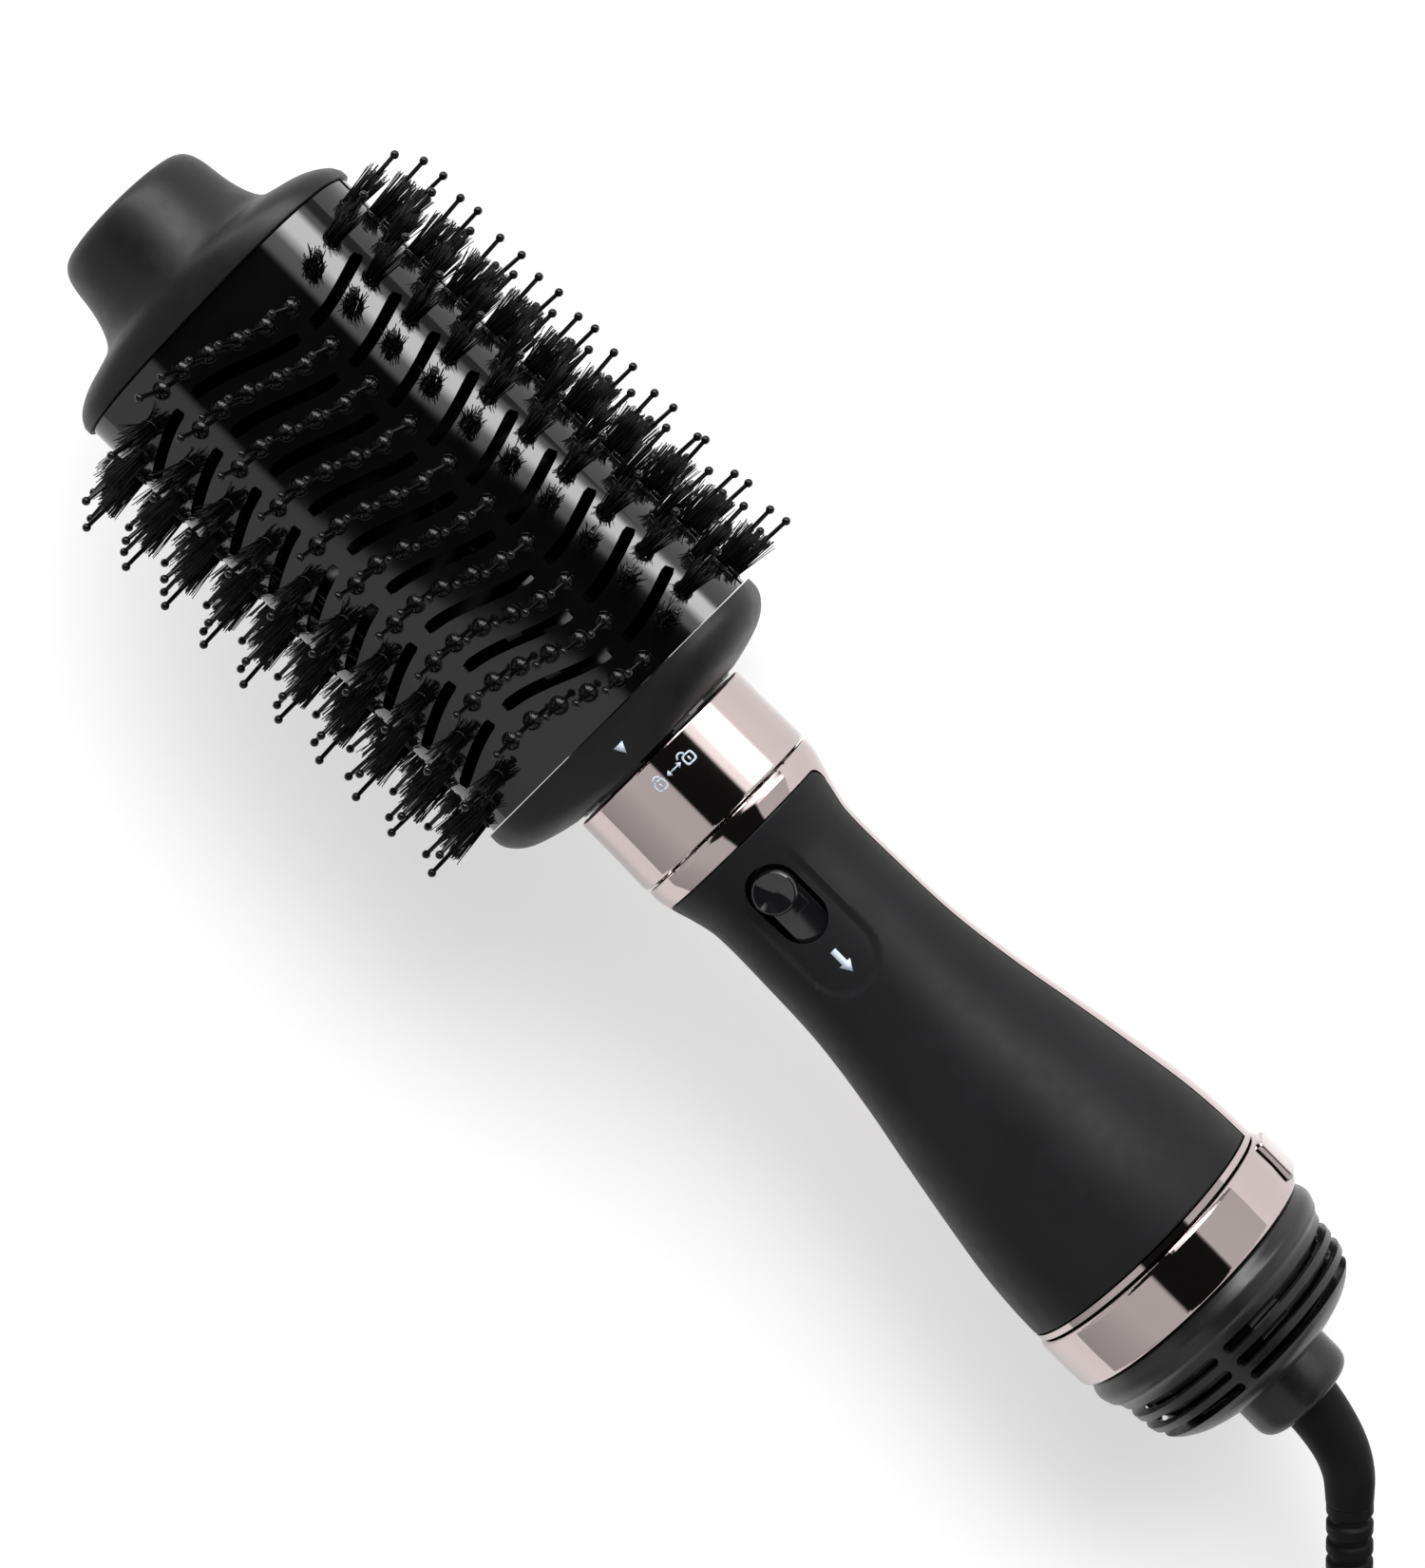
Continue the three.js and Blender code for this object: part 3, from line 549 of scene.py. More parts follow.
def coil_line():
    """The cord's centre line in the coil: round the lower layer inwards, up, and out again above."""
    line = []
    turns, outer = COIL["turns"], COIL["outer_turn"]
    step = 2 * CORD_RADIUS
    climb = 0.35
    low, high = COIL["low"], COIL["high"]
    per_turn = 60
    total = 2 * turns + climb
    count = int(total * per_turn)
    for i in range(count + 1):
        t = total * i / count
        if t < turns:
            radius, height = outer - step * t, low
        elif t < turns + climb:
            share = (t - turns) / climb
            radius, height = outer - step * turns, low + (high - low) * (0.5 - 0.5 * math.cos(PI * share))
        else:
            radius, height = outer - step * (total - t), high
        line.append((t, radius, height))
    # The turns end where the tail leaves, so the angle is stretched to a whole number of turns
    whole = round(total)
    points = []
    for t, radius, height in line:
        angle = PI / 2 + 2 * PI * whole * t / total
        x = COIL["x"] + radius * math.cos(angle)
        y = COIL["y"] + radius * math.sin(angle)
        points.append(Vector((x, y, height)))
    return points


def add_cord():
    lead = spline(LEAD_ROUTE, 6)
    tail = spline(TAIL_ROUTE, 6)
    coil = coil_line()
    line = lead[:-1] + coil[1:-1] + tail
    cord = sweep("mains_cord", line, [CORD_RADIUS] * len(line), 20)
    length = sum((b - a).length for a, b in zip(line, line[1:])) * MM
    finish(cord, "cord_set", "cord_black", ("cord_lead", "cord_coil", "cord_tail"))
    return cord, line, length


def on_axis(s):
    return (TOOL @ Vector((-s * MM, 0, 0))) / MM


def add_strain_relief():
    """Tapered sleeve with broken ribs in its last part."""
    route = [on_axis(355), on_axis(363), on_axis(372)] + [Vector(p) for p in RELIEF_ROUTE]
    line = spline(route, 24)
    lengths = [0.0]
    for a, b in zip(line, line[1:]):
        lengths.append(lengths[-1] + (b - a).length)
    total = lengths[-1]
    radii = []
    for d in lengths:
        t = min(max((d - 17) / (total - 17 - 26), 0), 1)
        radius = 7.0 - 1.6 * t
        if d > total - 26:
            phase = ((d - (total - 26)) % 5.0) / 5.0
            radius = 5.3 if phase < 0.62 else 4.45
            edge = min(abs(phase - 0.62), abs(phase - 1.0), phase) * 5
            if phase < 0.62 and edge < 0.35:
                radius -= 0.3 * (1 - edge / 0.35)
        if d > total - 1.2:
            radius = 4.4
        radii.append(radius)
    relief = sweep("cord_sleeve", line, radii, 36, sharp=30)
    return finish(relief, "cord_set", "cord_black", ("strain_relief",))


def add_tie():
    """Hook-and-loop strap closed round the coil."""
    inner = COIL["outer_turn"] - (2 * COIL["turns"] + 1) * CORD_RADIUS
    outer = COIL["outer_turn"] + CORD_RADIUS
    middle, half = (inner + outer) / 2, (outer - inner) / 2
    top = COIL["high"] + CORD_RADIUS
    side = half + 0.6
    corners = [(-side, 0.15), (side, 0.15), (side, top + 0.5), (-side, top + 0.5)]
    loop = rounded(corners, 8, 0.45, 3.0, closed=True)
    width, thick = 6.0, 0.9
    place = Matrix.Translation((COIL["x"], COIL["y"], 0)) @ Matrix.Rotation(COIL["tie"], 4, "Z")
    vertices = []
    count = len(loop)
    centre = np.array([0.0, top / 2])
    for r, z in loop:
        out = np.array([r, z]) - centre
        out = out / np.linalg.norm(out)
        for across, proud in ((-width, 0), (width, 0), (width, thick), (width - 0.4, thick + 0.1),
                              (-width + 0.4, thick + 0.1), (-width, thick)):
            point = Vector((middle + r + out[0] * proud, across, max(z + out[1] * proud, 0.02)))
            vertices.append(place @ point)
    tie = outward(new_object("coil_tie", vertices, grid_faces(count, 6, True, True), 40, matrix=None))
    return finish(tie, "cord_set", "cord_black", ("cord_tie",))


def add_plug():
    """Body of a mains plug with a leakage breaker: softly edged, with wells for its two keys on top and for
    its two blades, and grips down its sides.
    """
    length, half, height = PLUG["length"], PLUG["width"] / 2, PLUG["height"]
    waist = length - 12
    corners = [(0.2, -half), (waist, -half), (length, -10), (length, 10), (waist, half), (0.2, half)]
    outline = rounded(corners, 8, 0.45, 6.0, closed=True)
    levels = [(0.0, 2.2), (0.45, 1.1), (1.1, 0.45), (2.2, 0.0)]
    rows = levels + [(height - h, inset) for h, inset in reversed(levels)]
    middle = np.array([length / 2, 0.0])
    vertices = []
    for z, inset in rows:
        for point in outline:
            away = point - middle
            moved = point - away / np.linalg.norm(away) * inset
            vertices.append((max(moved[0], 0.0), moved[1], z))
    faces = tube_faces(len(rows), len(outline))
    place = PLUG_PLACE
    body = new_object("plug_shell", vertices, faces, scale=1, matrix=place)
    cutters = []
    for side in (-1, 1):
        cutters.append(new_box("key_well", (15 + side * 7, 0, height), (9.7, 6.7, 6), place))
        cutters.append(new_box("blade_well", (0, side * PLUG["pitch"] / 2, height / 2), (12, 2.2, 7), place))
        for k in range(4):
            centre = (27 + 3.4 * k, side * (half + 0.6), height / 2)
            cutters.append(new_box("grip", centre, (1.3, 2.6, 17), place))
    boolean(body, cutters)
    parts = [finish(body, "cord_set", "plug_black", ("plug_body",))]
    return parts


def new_box(name, centre, size, matrix, bevel=0.0):
    """A block, with rounded edges if bevel is given."""
    x, y, z = (d / 2 for d in size)
    corners = [(-x, -y), (x, -y), (x, y), (-x, y)]
    outline = rounded(corners, 4, 0.45, bevel, closed=True) if bevel else [np.array(c) for c in corners]
    rows = [(-z, 0.0), (z, 0.0)]
    if bevel:
        rows = [(-z, bevel * 0.6), (-z + bevel * 0.2, bevel * 0.2), (-z + bevel * 0.6, 0),
                (z - bevel * 0.6, 0), (z - bevel * 0.2, bevel * 0.2), (z, bevel * 0.6)]
    vertices = []
    for level, inset in rows:
        for px, py in outline:
            across = centre[0] + px * (1 - inset / x)
            along = centre[1] + py * (1 - inset / y)
            vertices.append((across, along, centre[2] + level))
    faces = tube_faces(len(rows), len(outline))
    return new_object(name, vertices, faces, 40, scale=1, matrix=matrix)


def add_plug_keys():
    place = PLUG_PLACE
    height = PLUG["height"]
    for side, body, node, slot in ((-1, "test_key", "test_button", "signal_red"),
                                   (1, "reset_key", "reset_button", "plug_black")):
        key = new_box(f"{body}_cap", (15 + side * 7, 0, height - 0.4), (9, 6, 3), place, 0.9)
        finish(outward(key), body, slot, (node,))
    blades = []
    for side, hand in ((-1, "left"), (1, "right")):
        centre = ((5 - PLUG["blade"]) / 2, side * PLUG["pitch"] / 2, height / 2)
        blade = new_box(f"blade_{hand}", centre, (PLUG["blade"] + 5, 1.5, 6.3), place, 0.5)
        blades.append(finish(outward(blade), "cord_set", "brass", (f"plug_blade_{hand}",)))
    return blades


cord, cord_path, cord_length = add_cord()
sleeve = add_strain_relief()
tie = add_tie()
plug_parts = add_plug()
blades = add_plug_keys()


# ---------------------------------------------------------------- head

def wave(y):
    return -WAVE_HEIGHT * math.sin(2 * PI * (y + WAVE_SHIFT) / WAVE_LENGTH)


def column_start(column):
    return FIRST_COLUMN + column * COLUMN_PITCH


def slot_outline(column, low, high, width):
    """A waved slot of even width with round ends, seen from the front."""
    centre = column_start(column) + COLUMN_PITCH / 2
    steps = 18
    half = width / 2
    places = [low + (high - low) * i / steps for i in range(steps + 1)]
    line = [(centre + wave(y), y) for y in places]
    left, right = [], []
    for i, (s, y) in enumerate(line):
        ahead, behind = line[min(i + 1, steps)], line[max(i - 1, 0)]
        ds, dy = ahead[0] - behind[0], ahead[1] - behind[1]
        length = math.hypot(ds, dy)
        across = (dy / length, -ds / length)
        end = min(y - low, high - y)
        here = half if end > half * 0.5 else half * (0.72 + 0.56 * end / half)
        left.append((s - across[0] * here, y - across[1] * here))
        right.append((s + across[0] * here, y + across[1] * here))
    return left + right[::-1]


def barrel_half(name):
    """Front half of the barrel: a thin oval shell with its slots and the side seam."""
    count = 96
    outer, inner = [], []
    wide, deep, wall = BARREL["half_width"], BARREL["half_depth"], BARREL["wall"]
    for i in range(count + 1):
        angle = PI * i / count
        outer.append(oval(angle, wide, deep))
        inner.append(oval(angle, wide - wall, deep - wall))
    shell = prism(name, outer + inner[::-1], BARREL["start"], BARREL["end"], axis="s")
    cutters = []
    for column in range(COLUMNS - 1):
        for low, high in SLOT_SPANS:
            cutters.append(prism("slot", slot_outline(column, low, high, SLOT_WIDTH), 5, 30))
    seam = [(-45, -1), (45, -1), (45, SEAM_HALF), (-45, SEAM_HALF)]
    cutters.append(prism("seam", seam, BARREL["start"] - 1, BARREL["end"] + 1, axis="s"))
    boolean(shell, cutters)
    return shell


def barrel_normal(point):
    """Outward normal of the barrel's section at a point in the tool's frame."""
    power = BARREL["power"]
    y, z = point.y / BARREL["half_width"], point.z / BARREL["half_depth"]
    ny = math.copysign(abs(y) ** (power - 1), y) / BARREL["half_width"]
    nz = math.copysign(abs(z) ** (power - 1), z) / BARREL["half_depth"]
    return Vector((0, ny, nz)).normalized()


def turn_over(thing):
    """The same body on the other side of the tool: turned half round its axis."""
    thing.data.transform(TOOL @ TURNED_OVER @ TOOL.inverted())
    return thing


def add_barrel():
    for name, over in (("barrel_front", False), ("barrel_back", True)):
        shell = barrel_half(name)
        true_normals(shell, barrel_normal)
        if over:
            normals = [n.vector.copy() for n in shell.data.corner_normals]
            turn_over(shell)
            turn = (TOOL @ TURNED_OVER @ TOOL.inverted()).to_3x3()
            shell.data.normals_split_custom_set([turn @ n for n in normals])
        finish(shell, "head", "barrel_black", (f"{name}_shell",))


PIN_ROWS_SHAPE = [
    (-3.0, 2.2), (-0.1, 2.3), (0.12, 2.2), (0.16, 2.05), (-0.05, 1.95), (0.2, 1.85), (0.62, 1.5), (0.85, 1.0),
    (1.15, 0.74), (2.4, 0.62), (9.0, 0.52),
]


def pin_template(length, boss=True, segments=12):
    """A nylon pin on its boss, with a ball tip."""
    ball = 1.0
    rows = list(PIN_ROWS_SHAPE) if boss else [(0, 0.55)]
    rows.append((length - ball * 1.75, 0.5))
    for k in range(7):
        angle = -PI / 3 + (PI / 2 + PI / 3 - 0.12) * k / 6
        rows.append((length - ball + ball * math.sin(angle), ball * math.cos(angle)))
    return lathe_template(rows, segments)


def surface_height(y):
    """Height of the barrel's front surface above the axis at y."""
    power = BARREL["power"]
    return BARREL["half_depth"] * (1 - (abs(y) / BARREL["half_width"]) ** power) ** (1 / power)


def pin_places(shake):
    places = []
    for column in range(COLUMNS):
        for y in PIN_ROWS:
            s = column_start(column) + wave(y)
            lean = Vector((shake.uniform(-0.02, 0.02), shake.uniform(-0.02, 0.02), 1))
            places.append((Vector((-s, y, surface_height(y))), lean))
    return places


def ribbon(name, width, low, drop, spans):
    """The pads that hold the pins: a waved ribbon under each column, joined by rails at both sides."""
    parts = []
    for column in range(COLUMNS):
        steps = 24
        vertices = []
        for i in range(steps + 1):
            y = -18.4 + 36.8 * i / steps
            s = column_start(column) + wave(y)
            for ds, z in ((-width, low), (width, low), (width, low - drop), (-width, low - drop)):
                vertices.append((-(s + ds), y, z))
        faces = grid_faces(steps + 1, 4, False, True)
        faces += [(3, 2, 1, 0), tuple(range(steps * 4, steps * 4 + 4))]
        parts.append(outward(new_object(name, vertices, faces, sharp=30)))
    for y in spans:
        first = column_start(0) - RAIL_OVERHANG
        last = column_start(COLUMNS - 1) + RAIL_OVERHANG
        edge = [(first, y - 1.1), (last, y - 1.1), (last, y + 1.1), (first, y + 1.1)]
        parts.append(outward(prism(name, edge, low - drop + 0.1, low - 0.15)))
    return parts


def liners():
    """Soft liners against the inside of the back half, with a gap between them off its middle line."""
    parts = []
    inset = BARREL["wall"] + 0.3
    for side, last in ((-1, 75.4), (1, 95.7)):
        edges = []
        for more in (0, 1.0):
            angles = [math.radians(24 + (last - 24) * k / 20) for k in range(21)]
            shrink = inset + more
            points = [oval(a, BARREL["half_width"] - shrink, BARREL["half_depth"] - shrink) for a in angles]
            edges.append([(side * y, z) for y, z in points])
        outline = edges[0] + edges[1][::-1]
        first = column_start(0) - RAIL_OVERHANG
        last = column_start(COLUMNS - 1) + RAIL_OVERHANG
        parts.append(outward(prism("liner", outline, first, last, axis="s")))
    return parts


def add_pins():
    for name, over, node in (("pins_front", False, "front_pin_pad"), ("pins_back", True, "back_pin_pad")):
        shake = random.Random(11 + over)
        pieces = ribbon("ribbon", 4.9 if over else 3.2, 22.4, 2.0, (-15, 15))
        for y in PIN_ROWS:
            root = surface_height(y)
            places = [aim(p, lean) for p, lean in pin_places(shake) if abs(p.y - y) < 0.01]
            pieces.append(outward(instances("pins", pin_template(PIN_TIP - root), places)))
        if over:
            pieces += liners()
        pins = join(pieces, name)
        if over:
            turn_over(pins)
        finish(pins, "head", "nylon_black", (node,))


def bristle(length, radius, shake):
    """(vertices, faces) of a thin three-sided hair, bent a little, upright at the origin."""
    bend = Vector((shake.uniform(-1, 1), shake.uniform(-1, 1), 0)) * 0.035
    rows = []
    for k in range(4):
        t = k / 3
        centre = Vector((0, 0, length * t)) + bend * length * t * t
        rows.append((centre, radius * (1 - 0.25 * t)))
    vertices = []
    for centre, r in rows:
        for j in range(3):
            angle = 2 * PI * j / 3
            vertices.append(centre + Vector((r * math.cos(angle), r * math.sin(angle), 0)))
    faces = grid_faces(4, 3, False, True)
    faces += [(2, 1, 0), (9, 10, 11)]
    return vertices, faces


def tuft(place, shake):
    """Bristles of one tuft, spreading from a round root, in the tool's frame."""
    vertices, faces = [], []
    for k in range(BRISTLES):
        reach = 1.75 * math.sqrt((k + 0.5) / BRISTLES)
        around = 2.39996 * k + shake.uniform(-0.3, 0.3)
        root = Vector((reach * math.cos(around), reach * math.sin(around), -1.4))
        spread = 0.10 * reach / 1.75
        out = Vector((math.cos(around) * spread, math.sin(around) * spread, 1))
        out += Vector((shake.uniform(-0.05, 0.05), shake.uniform(-0.05, 0.05), 0))
        if k % 13 == 0:
            out += Vector((shake.uniform(-0.18, 0.18), shake.uniform(-0.18, 0.18), 0))
        hair, hair_faces = bristle(TUFT_LENGTH + 1.4 + shake.uniform(-1.2, 0.5), 0.17, shake)
        stand = place @ aim(root, out)
        offset = len(vertices)
        vertices.extend(stand @ v for v in hair)
        faces.extend(tuple(i + offset for i in face) for face in hair_faces)
    return vertices, faces


def side_places():
    """Places of the side tufts on the -y side."""
    places = []
    for column in range(COLUMNS):
        for around, lean, offset in TUFTS:
            y, z = oval(math.radians(around), BARREL["half_width"], BARREL["half_depth"])
            direction = Vector((0, -math.sin(math.radians(lean)), math.cos(math.radians(lean))))
            places.append((Vector((-(column_start(column) + offset), -y, z)), direction))
    return places


def add_side_bristles():
    """Boar-style tufts round ball-tipped pins, down both sides of the barrel."""
    # The CAD strip named left is on the +y side, and the one named right is it turned over
    for hand, over in (("right", False), ("left", True)):
        shake = random.Random(23 + over)
        vertices, faces, pin_spots, cups = [], [], [], []
        for point, direction in side_places():
            place = aim(point, direction)
            more, more_faces = tuft(place, shake)
            offset = len(vertices)
            vertices.extend(more)
            faces.extend(tuple(i + offset for i in face) for face in more_faces)
            wobble = Vector((shake.uniform(-0.07, 0.07), shake.uniform(-0.04, 0.04), 0)) + direction
            pin_spots.append(aim(point, wobble.normalized()))
            cups.append(place)
        hair = outward(new_object("hair", vertices, faces, sharp=0))
        pin = pin_template(TUFT_PIN, boss=False, segments=10)
        pins = outward(instances("tuft_pins", pin, pin_spots))
        rim = [(-1.6, 2.2), (0.1, 2.35), (0.35, 2.2), (0.35, 1.9), (-0.4, 1.8), (-0.5, 0.3)]
        sockets = outward(instances("sockets", lathe_template(rim, 16), cups))
        first, last = BARREL["start"] + 2.6, 151.5
        rail_edge = [(first, -38.9), (last, -38.9), (last, -34), (first, -34)]
        rail = outward(prism("rail", rail_edge, -0.9, 0.9))
        for thing, material in ((hair, "bristle_black"), (pins, "nylon_black"), (sockets, "nylon_black"),
                                (rail, "nylon_black")):
            thing.data.materials.append(MATERIALS[material])
        whole = join([hair, pins, sockets, rail], f"bristles_{hand}")
        if over:
            turn_over(whole)
        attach(whole, "head")
        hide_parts(f"{hand}_bristle_strip")


def add_caps():
    front = [
        [0, 0.4, 0.4], [0, 15.6, 15.6], [0.9, 18, 18], [4, 19.8, 19.8], [12, 20.7, 20.7], [17.3, 22.3, 22.2],
        [20.6, 24.4, 23.7], [22.1, 29.3, 24.5], [23.6, 34.6, 25.2], [26, 38.6, 25.9],
    ]
    skirt = [
        [28.4, 39.9, 26.2], [30.1, 40, 26.2], [30.1, 37.6, 23.8], [26, 35, 22.6], [21, 20.6, 20.6],
        [3, 16, 16], [3, 0.4, 0.4],
    ]
    rows = rounded(front + skirt[:1], 6, 0.5, 9) + rounded(skirt, 3, 0.4, 0.4)[1:]
    cap = oval_turned("cap_front", rows)
    finish(outward(cap), "head", "soft_touch_black", ("front_cap",))
    disc = turned("cap_disc", rounded([(4, 0.3), (4, 14.4), (5.2, 14.4), (5.2, 0.3)], 4, 0.4, 0.3))
    finish(outward(disc), "head", "soft_touch_black", ("tip_disc",))
    outer = [
        [154.5, 40.2, 26.3], [157.6, 40.25, 26.3], [160.6, 38.2, 25.9], [162.9, 35.0, 25.3],
        [164.7, 29.6, 24.7], [165.8, 24.6, 24.1],
    ]
    inner = [[165.8, 23.4, 23.4], [160.4, 23.3, 23.3], [157, 24, 23.4], [154.5, 37.8, 23.9]]
    rows = rounded(outer, 6, 0.5, 9) + rounded(inner, 3, 0.4, 0.4)
    rear = oval_turned("cap_rear", rows)
    cutters = []
    for turn in (0, 120, 240):
        groove = [(158, -2.7), (167, -2.7), (167, 2.7), (158, 2.7)]
        cutter = prism("groove", groove, 20, 23.75)
        cutter.data.transform(TOOL @ Matrix.Rotation(math.radians(turn), 4, "X") @ TOOL.inverted())
        cutters.append(cutter)
    boolean(rear, cutters)
    finish(rear, "head", "soft_touch_black", ("rear_cap",))


add_barrel()
add_pins()
add_side_bristles()
add_caps()


# ---------------------------------------------------------------- neck and handle

def handle_radius(s):
    """Smooth radius of the grip at a station."""
    rows = HANDLE_OUTLINE
    if s <= rows[0][0]:
        return rows[0][1]
    for i in range(len(rows) - 1):
        (s0, r0), (s1, r1) = rows[i], rows[i + 1]
        if s <= s1:
            before, after = rows[max(i - 1, 0)], rows[min(i + 2, len(rows) - 1)]
            m0 = (r1 - before[1]) / max(s1 - before[0], 1e-6) * (s1 - s0)
            m1 = (after[1] - r0) / max(after[0] - s0, 1e-6) * (s1 - s0)
            return hermite((s - s0) / (s1 - s0), r0, r1, m0, m1)
    return rows[-1][1]


def radial_normal(point):
    """Outward normal of a straight round body at a point in the tool's frame."""
    return Vector((0, point.y, point.z)).normalized()


def handle_normal(point):
    """Outward normal of the grip at a point in the tool's frame."""
    s = -point.x
    slope = (handle_radius(s + 0.2) - handle_radius(s - 0.2)) / 0.4
    return (radial_normal(point) + Vector((slope, 0, 0))).normalized()


def scoop_depth(s, y):
    """How far the thumb scoop sinks the cover at a station and a lateral place."""
    half, end = SCOOP["half_width"], SCOOP["end"]
    inside = half - abs(y)
    if s > end - half:
        inside = half - math.hypot(s - (end - half), y)
    lead = (s - SCOOP["start"]) / 9
    edge = min(max(inside / 1.25, 0), 1)
    front = min(max(lead, 0), 1)
    return SCOOP["depth"] * edge * edge * (3 - 2 * edge) * front * front * (3 - 2 * front)


def cover_start(arc_from_edge, corner, start):
    """Station of the cover's front edge, with its round corners."""
    if arc_from_edge >= corner:
        return start
    gap = corner - max(arc_from_edge, 0)
    return start + corner - math.sqrt(max(corner ** 2 - gap ** 2, 0))


def cover_body(name, grow=0.0, proud=0.0, deep=None, fine=True):
    """The cover, or the room for it: a wedge of the grip with round front corners."""
    deep = COVER["wall"] if deep is None else deep
    half = COVER["angle"] + grow / 22
    start, end = COVER["start"] - grow, COVER["end"] + grow
    corner = COVER["corner"]
    across = 150 if fine else 96
    lengthwise = [0, 0.05, 0.12, 0.22, 0.35, 0.55, 0.8] if fine else [0, 0.8]
    total = end - start
    lengthwise += [0.8 + (total - 1.6) * (i / 150) for i in range(1, 150)]
    lengthwise += [total - d for d in ([0.8, 0.55, 0.35, 0.22, 0.12, 0.05, 0] if fine else [0.8, 0])]
    angles = []
    for j in range(across + 1):
        t = 2 * j / across - 1
        angles.append(half * math.copysign(1 - (1 - abs(t)) ** 1.35, t) if fine else half * t)
    outer, inner = [], []
    for d in lengthwise:
        for angle in angles:
            arc = (half - abs(angle)) * 22
            first = cover_start(arc, corner, start)
            s = first + d / total * (end - first)
            radius = handle_radius(s)
            edge = min(s - first, end - s, (half - abs(angle)) * radius)
            soften = 0.45 * (1 - math.sqrt(max(1 - (1 - min(edge / 0.55, 1)) ** 2, 0))) if not proud else 0
            y = radius * math.sin(angle)
            sink = scoop_depth(s, y) if not proud and abs(angle) < PI / 2 else 0
            r = radius + proud - soften - sink
            outer.append((-s, r * math.sin(angle), r * math.cos(angle)))
            r = radius - deep
            inner.append((-s, r * math.sin(angle), r * math.cos(angle)))
    rows, columns = len(lengthwise), across + 1
    faces = grid_faces(rows, columns, False, False)
    size = rows * columns
    faces += [tuple(i + size for i in reversed(f)) for f in grid_faces(rows, columns, False, False)]
    border = list(range(columns))
    border += [i * columns + columns - 1 for i in range(1, rows)]
    border += [(rows - 1) * columns + j for j in range(columns - 2, -1, -1)]
    border += [i * columns for i in range(rows - 2, 0, -1)]
    for k, a in enumerate(border):
        b = border[(k + 1) % len(border)]
        faces.append((b, a, a + size, b + size))
    return new_object(name, outer + inner, faces, sharp=32)


def obround(s0, s1, half_width, steps=24):
    outline = []
    for i in range(steps + 1):
        angle = PI * (i / steps - 0.5)
        outline.append((s1 - half_width + half_width * math.cos(angle), half_width * math.sin(angle)))
    return outline + [(s0 + s1 - s, -y) for s, y in outline]


def latch_way():
    """Room for the latch under the collar and the front edge of the cover."""
    return prism("latch_way", [(165.8, -2.9), (198, -2.9), (198, 2.9), (165.8, 2.9)], 19, 21.6)


def add_cover():
    cover = cover_body("grip_cover")
    window = prism("window", obround(SWITCH["start"], SWITCH["end"], SWITCH["half_width"]), 10, 30)
    boolean(cover, [window, latch_way()], sharp=34)
    finish(cover, "handle", "soft_touch_black", ("front_cover",), "grip_black")
    rim = 0.9
    well = obround(SWITCH["start"] - rim, SWITCH["end"] + rim, SWITCH["half_width"] + rim)
    floor = outward(prism("switch_well", well, 13.2, 14.4))
    finish(floor, "handle", "gloss_black")


def add_shell():
    """Plated back shell: the whole grip outline, sunk where the cover lies."""
    rows = [(s, handle_radius(s)) for s in np.linspace(188.6, 318.9, 240)]
    outside = [(187.9, 23.5), (188.05, 23.85), (188.3, 24.03)] + rows + [(319.25, 32.5), (319.5, 32.1)]
    inside = [
        (319.5, 29.8), (310, 29.6), (300, 28.9), (285, 26.5), (255, 21.0), (238, 18.7), (222, 18.0),
        (206, 18.0), (200.2, 19.0), (195.2, 20.6), (191, 21.6), (187.9, 21.7),
    ]
    shell = turned("grip_shell", outside + inside, segments=192)
    room = cover_body("room", grow=0.28, proud=6, deep=9, fine=False)
    boolean(shell, [room] + [screw_hole(s, d) for s, d in SCREWS])
    boolean(shell, [latch_way()])
    true_normals(shell, handle_normal, 30)
    finish(shell, "handle", "rose_chrome", ("back_shell",))


def screw_hole(station, depth):
    place = Matrix.Translation((-station, 0, -depth - 1)) @ Matrix.Rotation(-PI / 2, 4, "Y")
    return capped("hole", [(0, 3.3), (-4, 3.3)], 40, place)


def add_screws():
    """Countersunk cross-head screws in the back."""
    for index, (station, depth) in enumerate(SCREWS, 1):
        place = Matrix.Translation((-station, 0, -depth)) @ Matrix.Rotation(PI / 2, 4, "Y")
        rows = rounded([(1.6, 2.6), (0.35, 2.95), (0.0, 2.5), (-0.12, 0.4)], 4, 0.4, 0.5)
        screw = capped(f"screw_{index}", rows, 40, place)
        cross = []
        for size in ((2.6, 0.7), (0.7, 2.6)):
            centre = (-station, 0, -depth + 0.2)
            cross.append(new_box("cross", centre, (*size, 1.6), TOOL @ Matrix.Scale(MM, 4)))
        for arm in cross:
            boolean(screw, [arm])
        finish(screw, "handle", "steel", (f"shell_screw_{index}",))


def add_collar():
    section = [
        (166.8, 21.6), (166.8, 23.5), (167.3, 24.1), (176, 24.15), (186.7, 24.4), (187.5, 24.1),
        (187.5, 21.6),
    ]
    rows = rounded(section, 6, 0.45, 0.5, closed=True)
    collar = turned("collar", rows, segments=192)
    boolean(collar, [latch_way()])
    true_normals(collar, radial_normal, 12)
    finish(collar, "handle", "rose_chrome", ("neck_collar",))


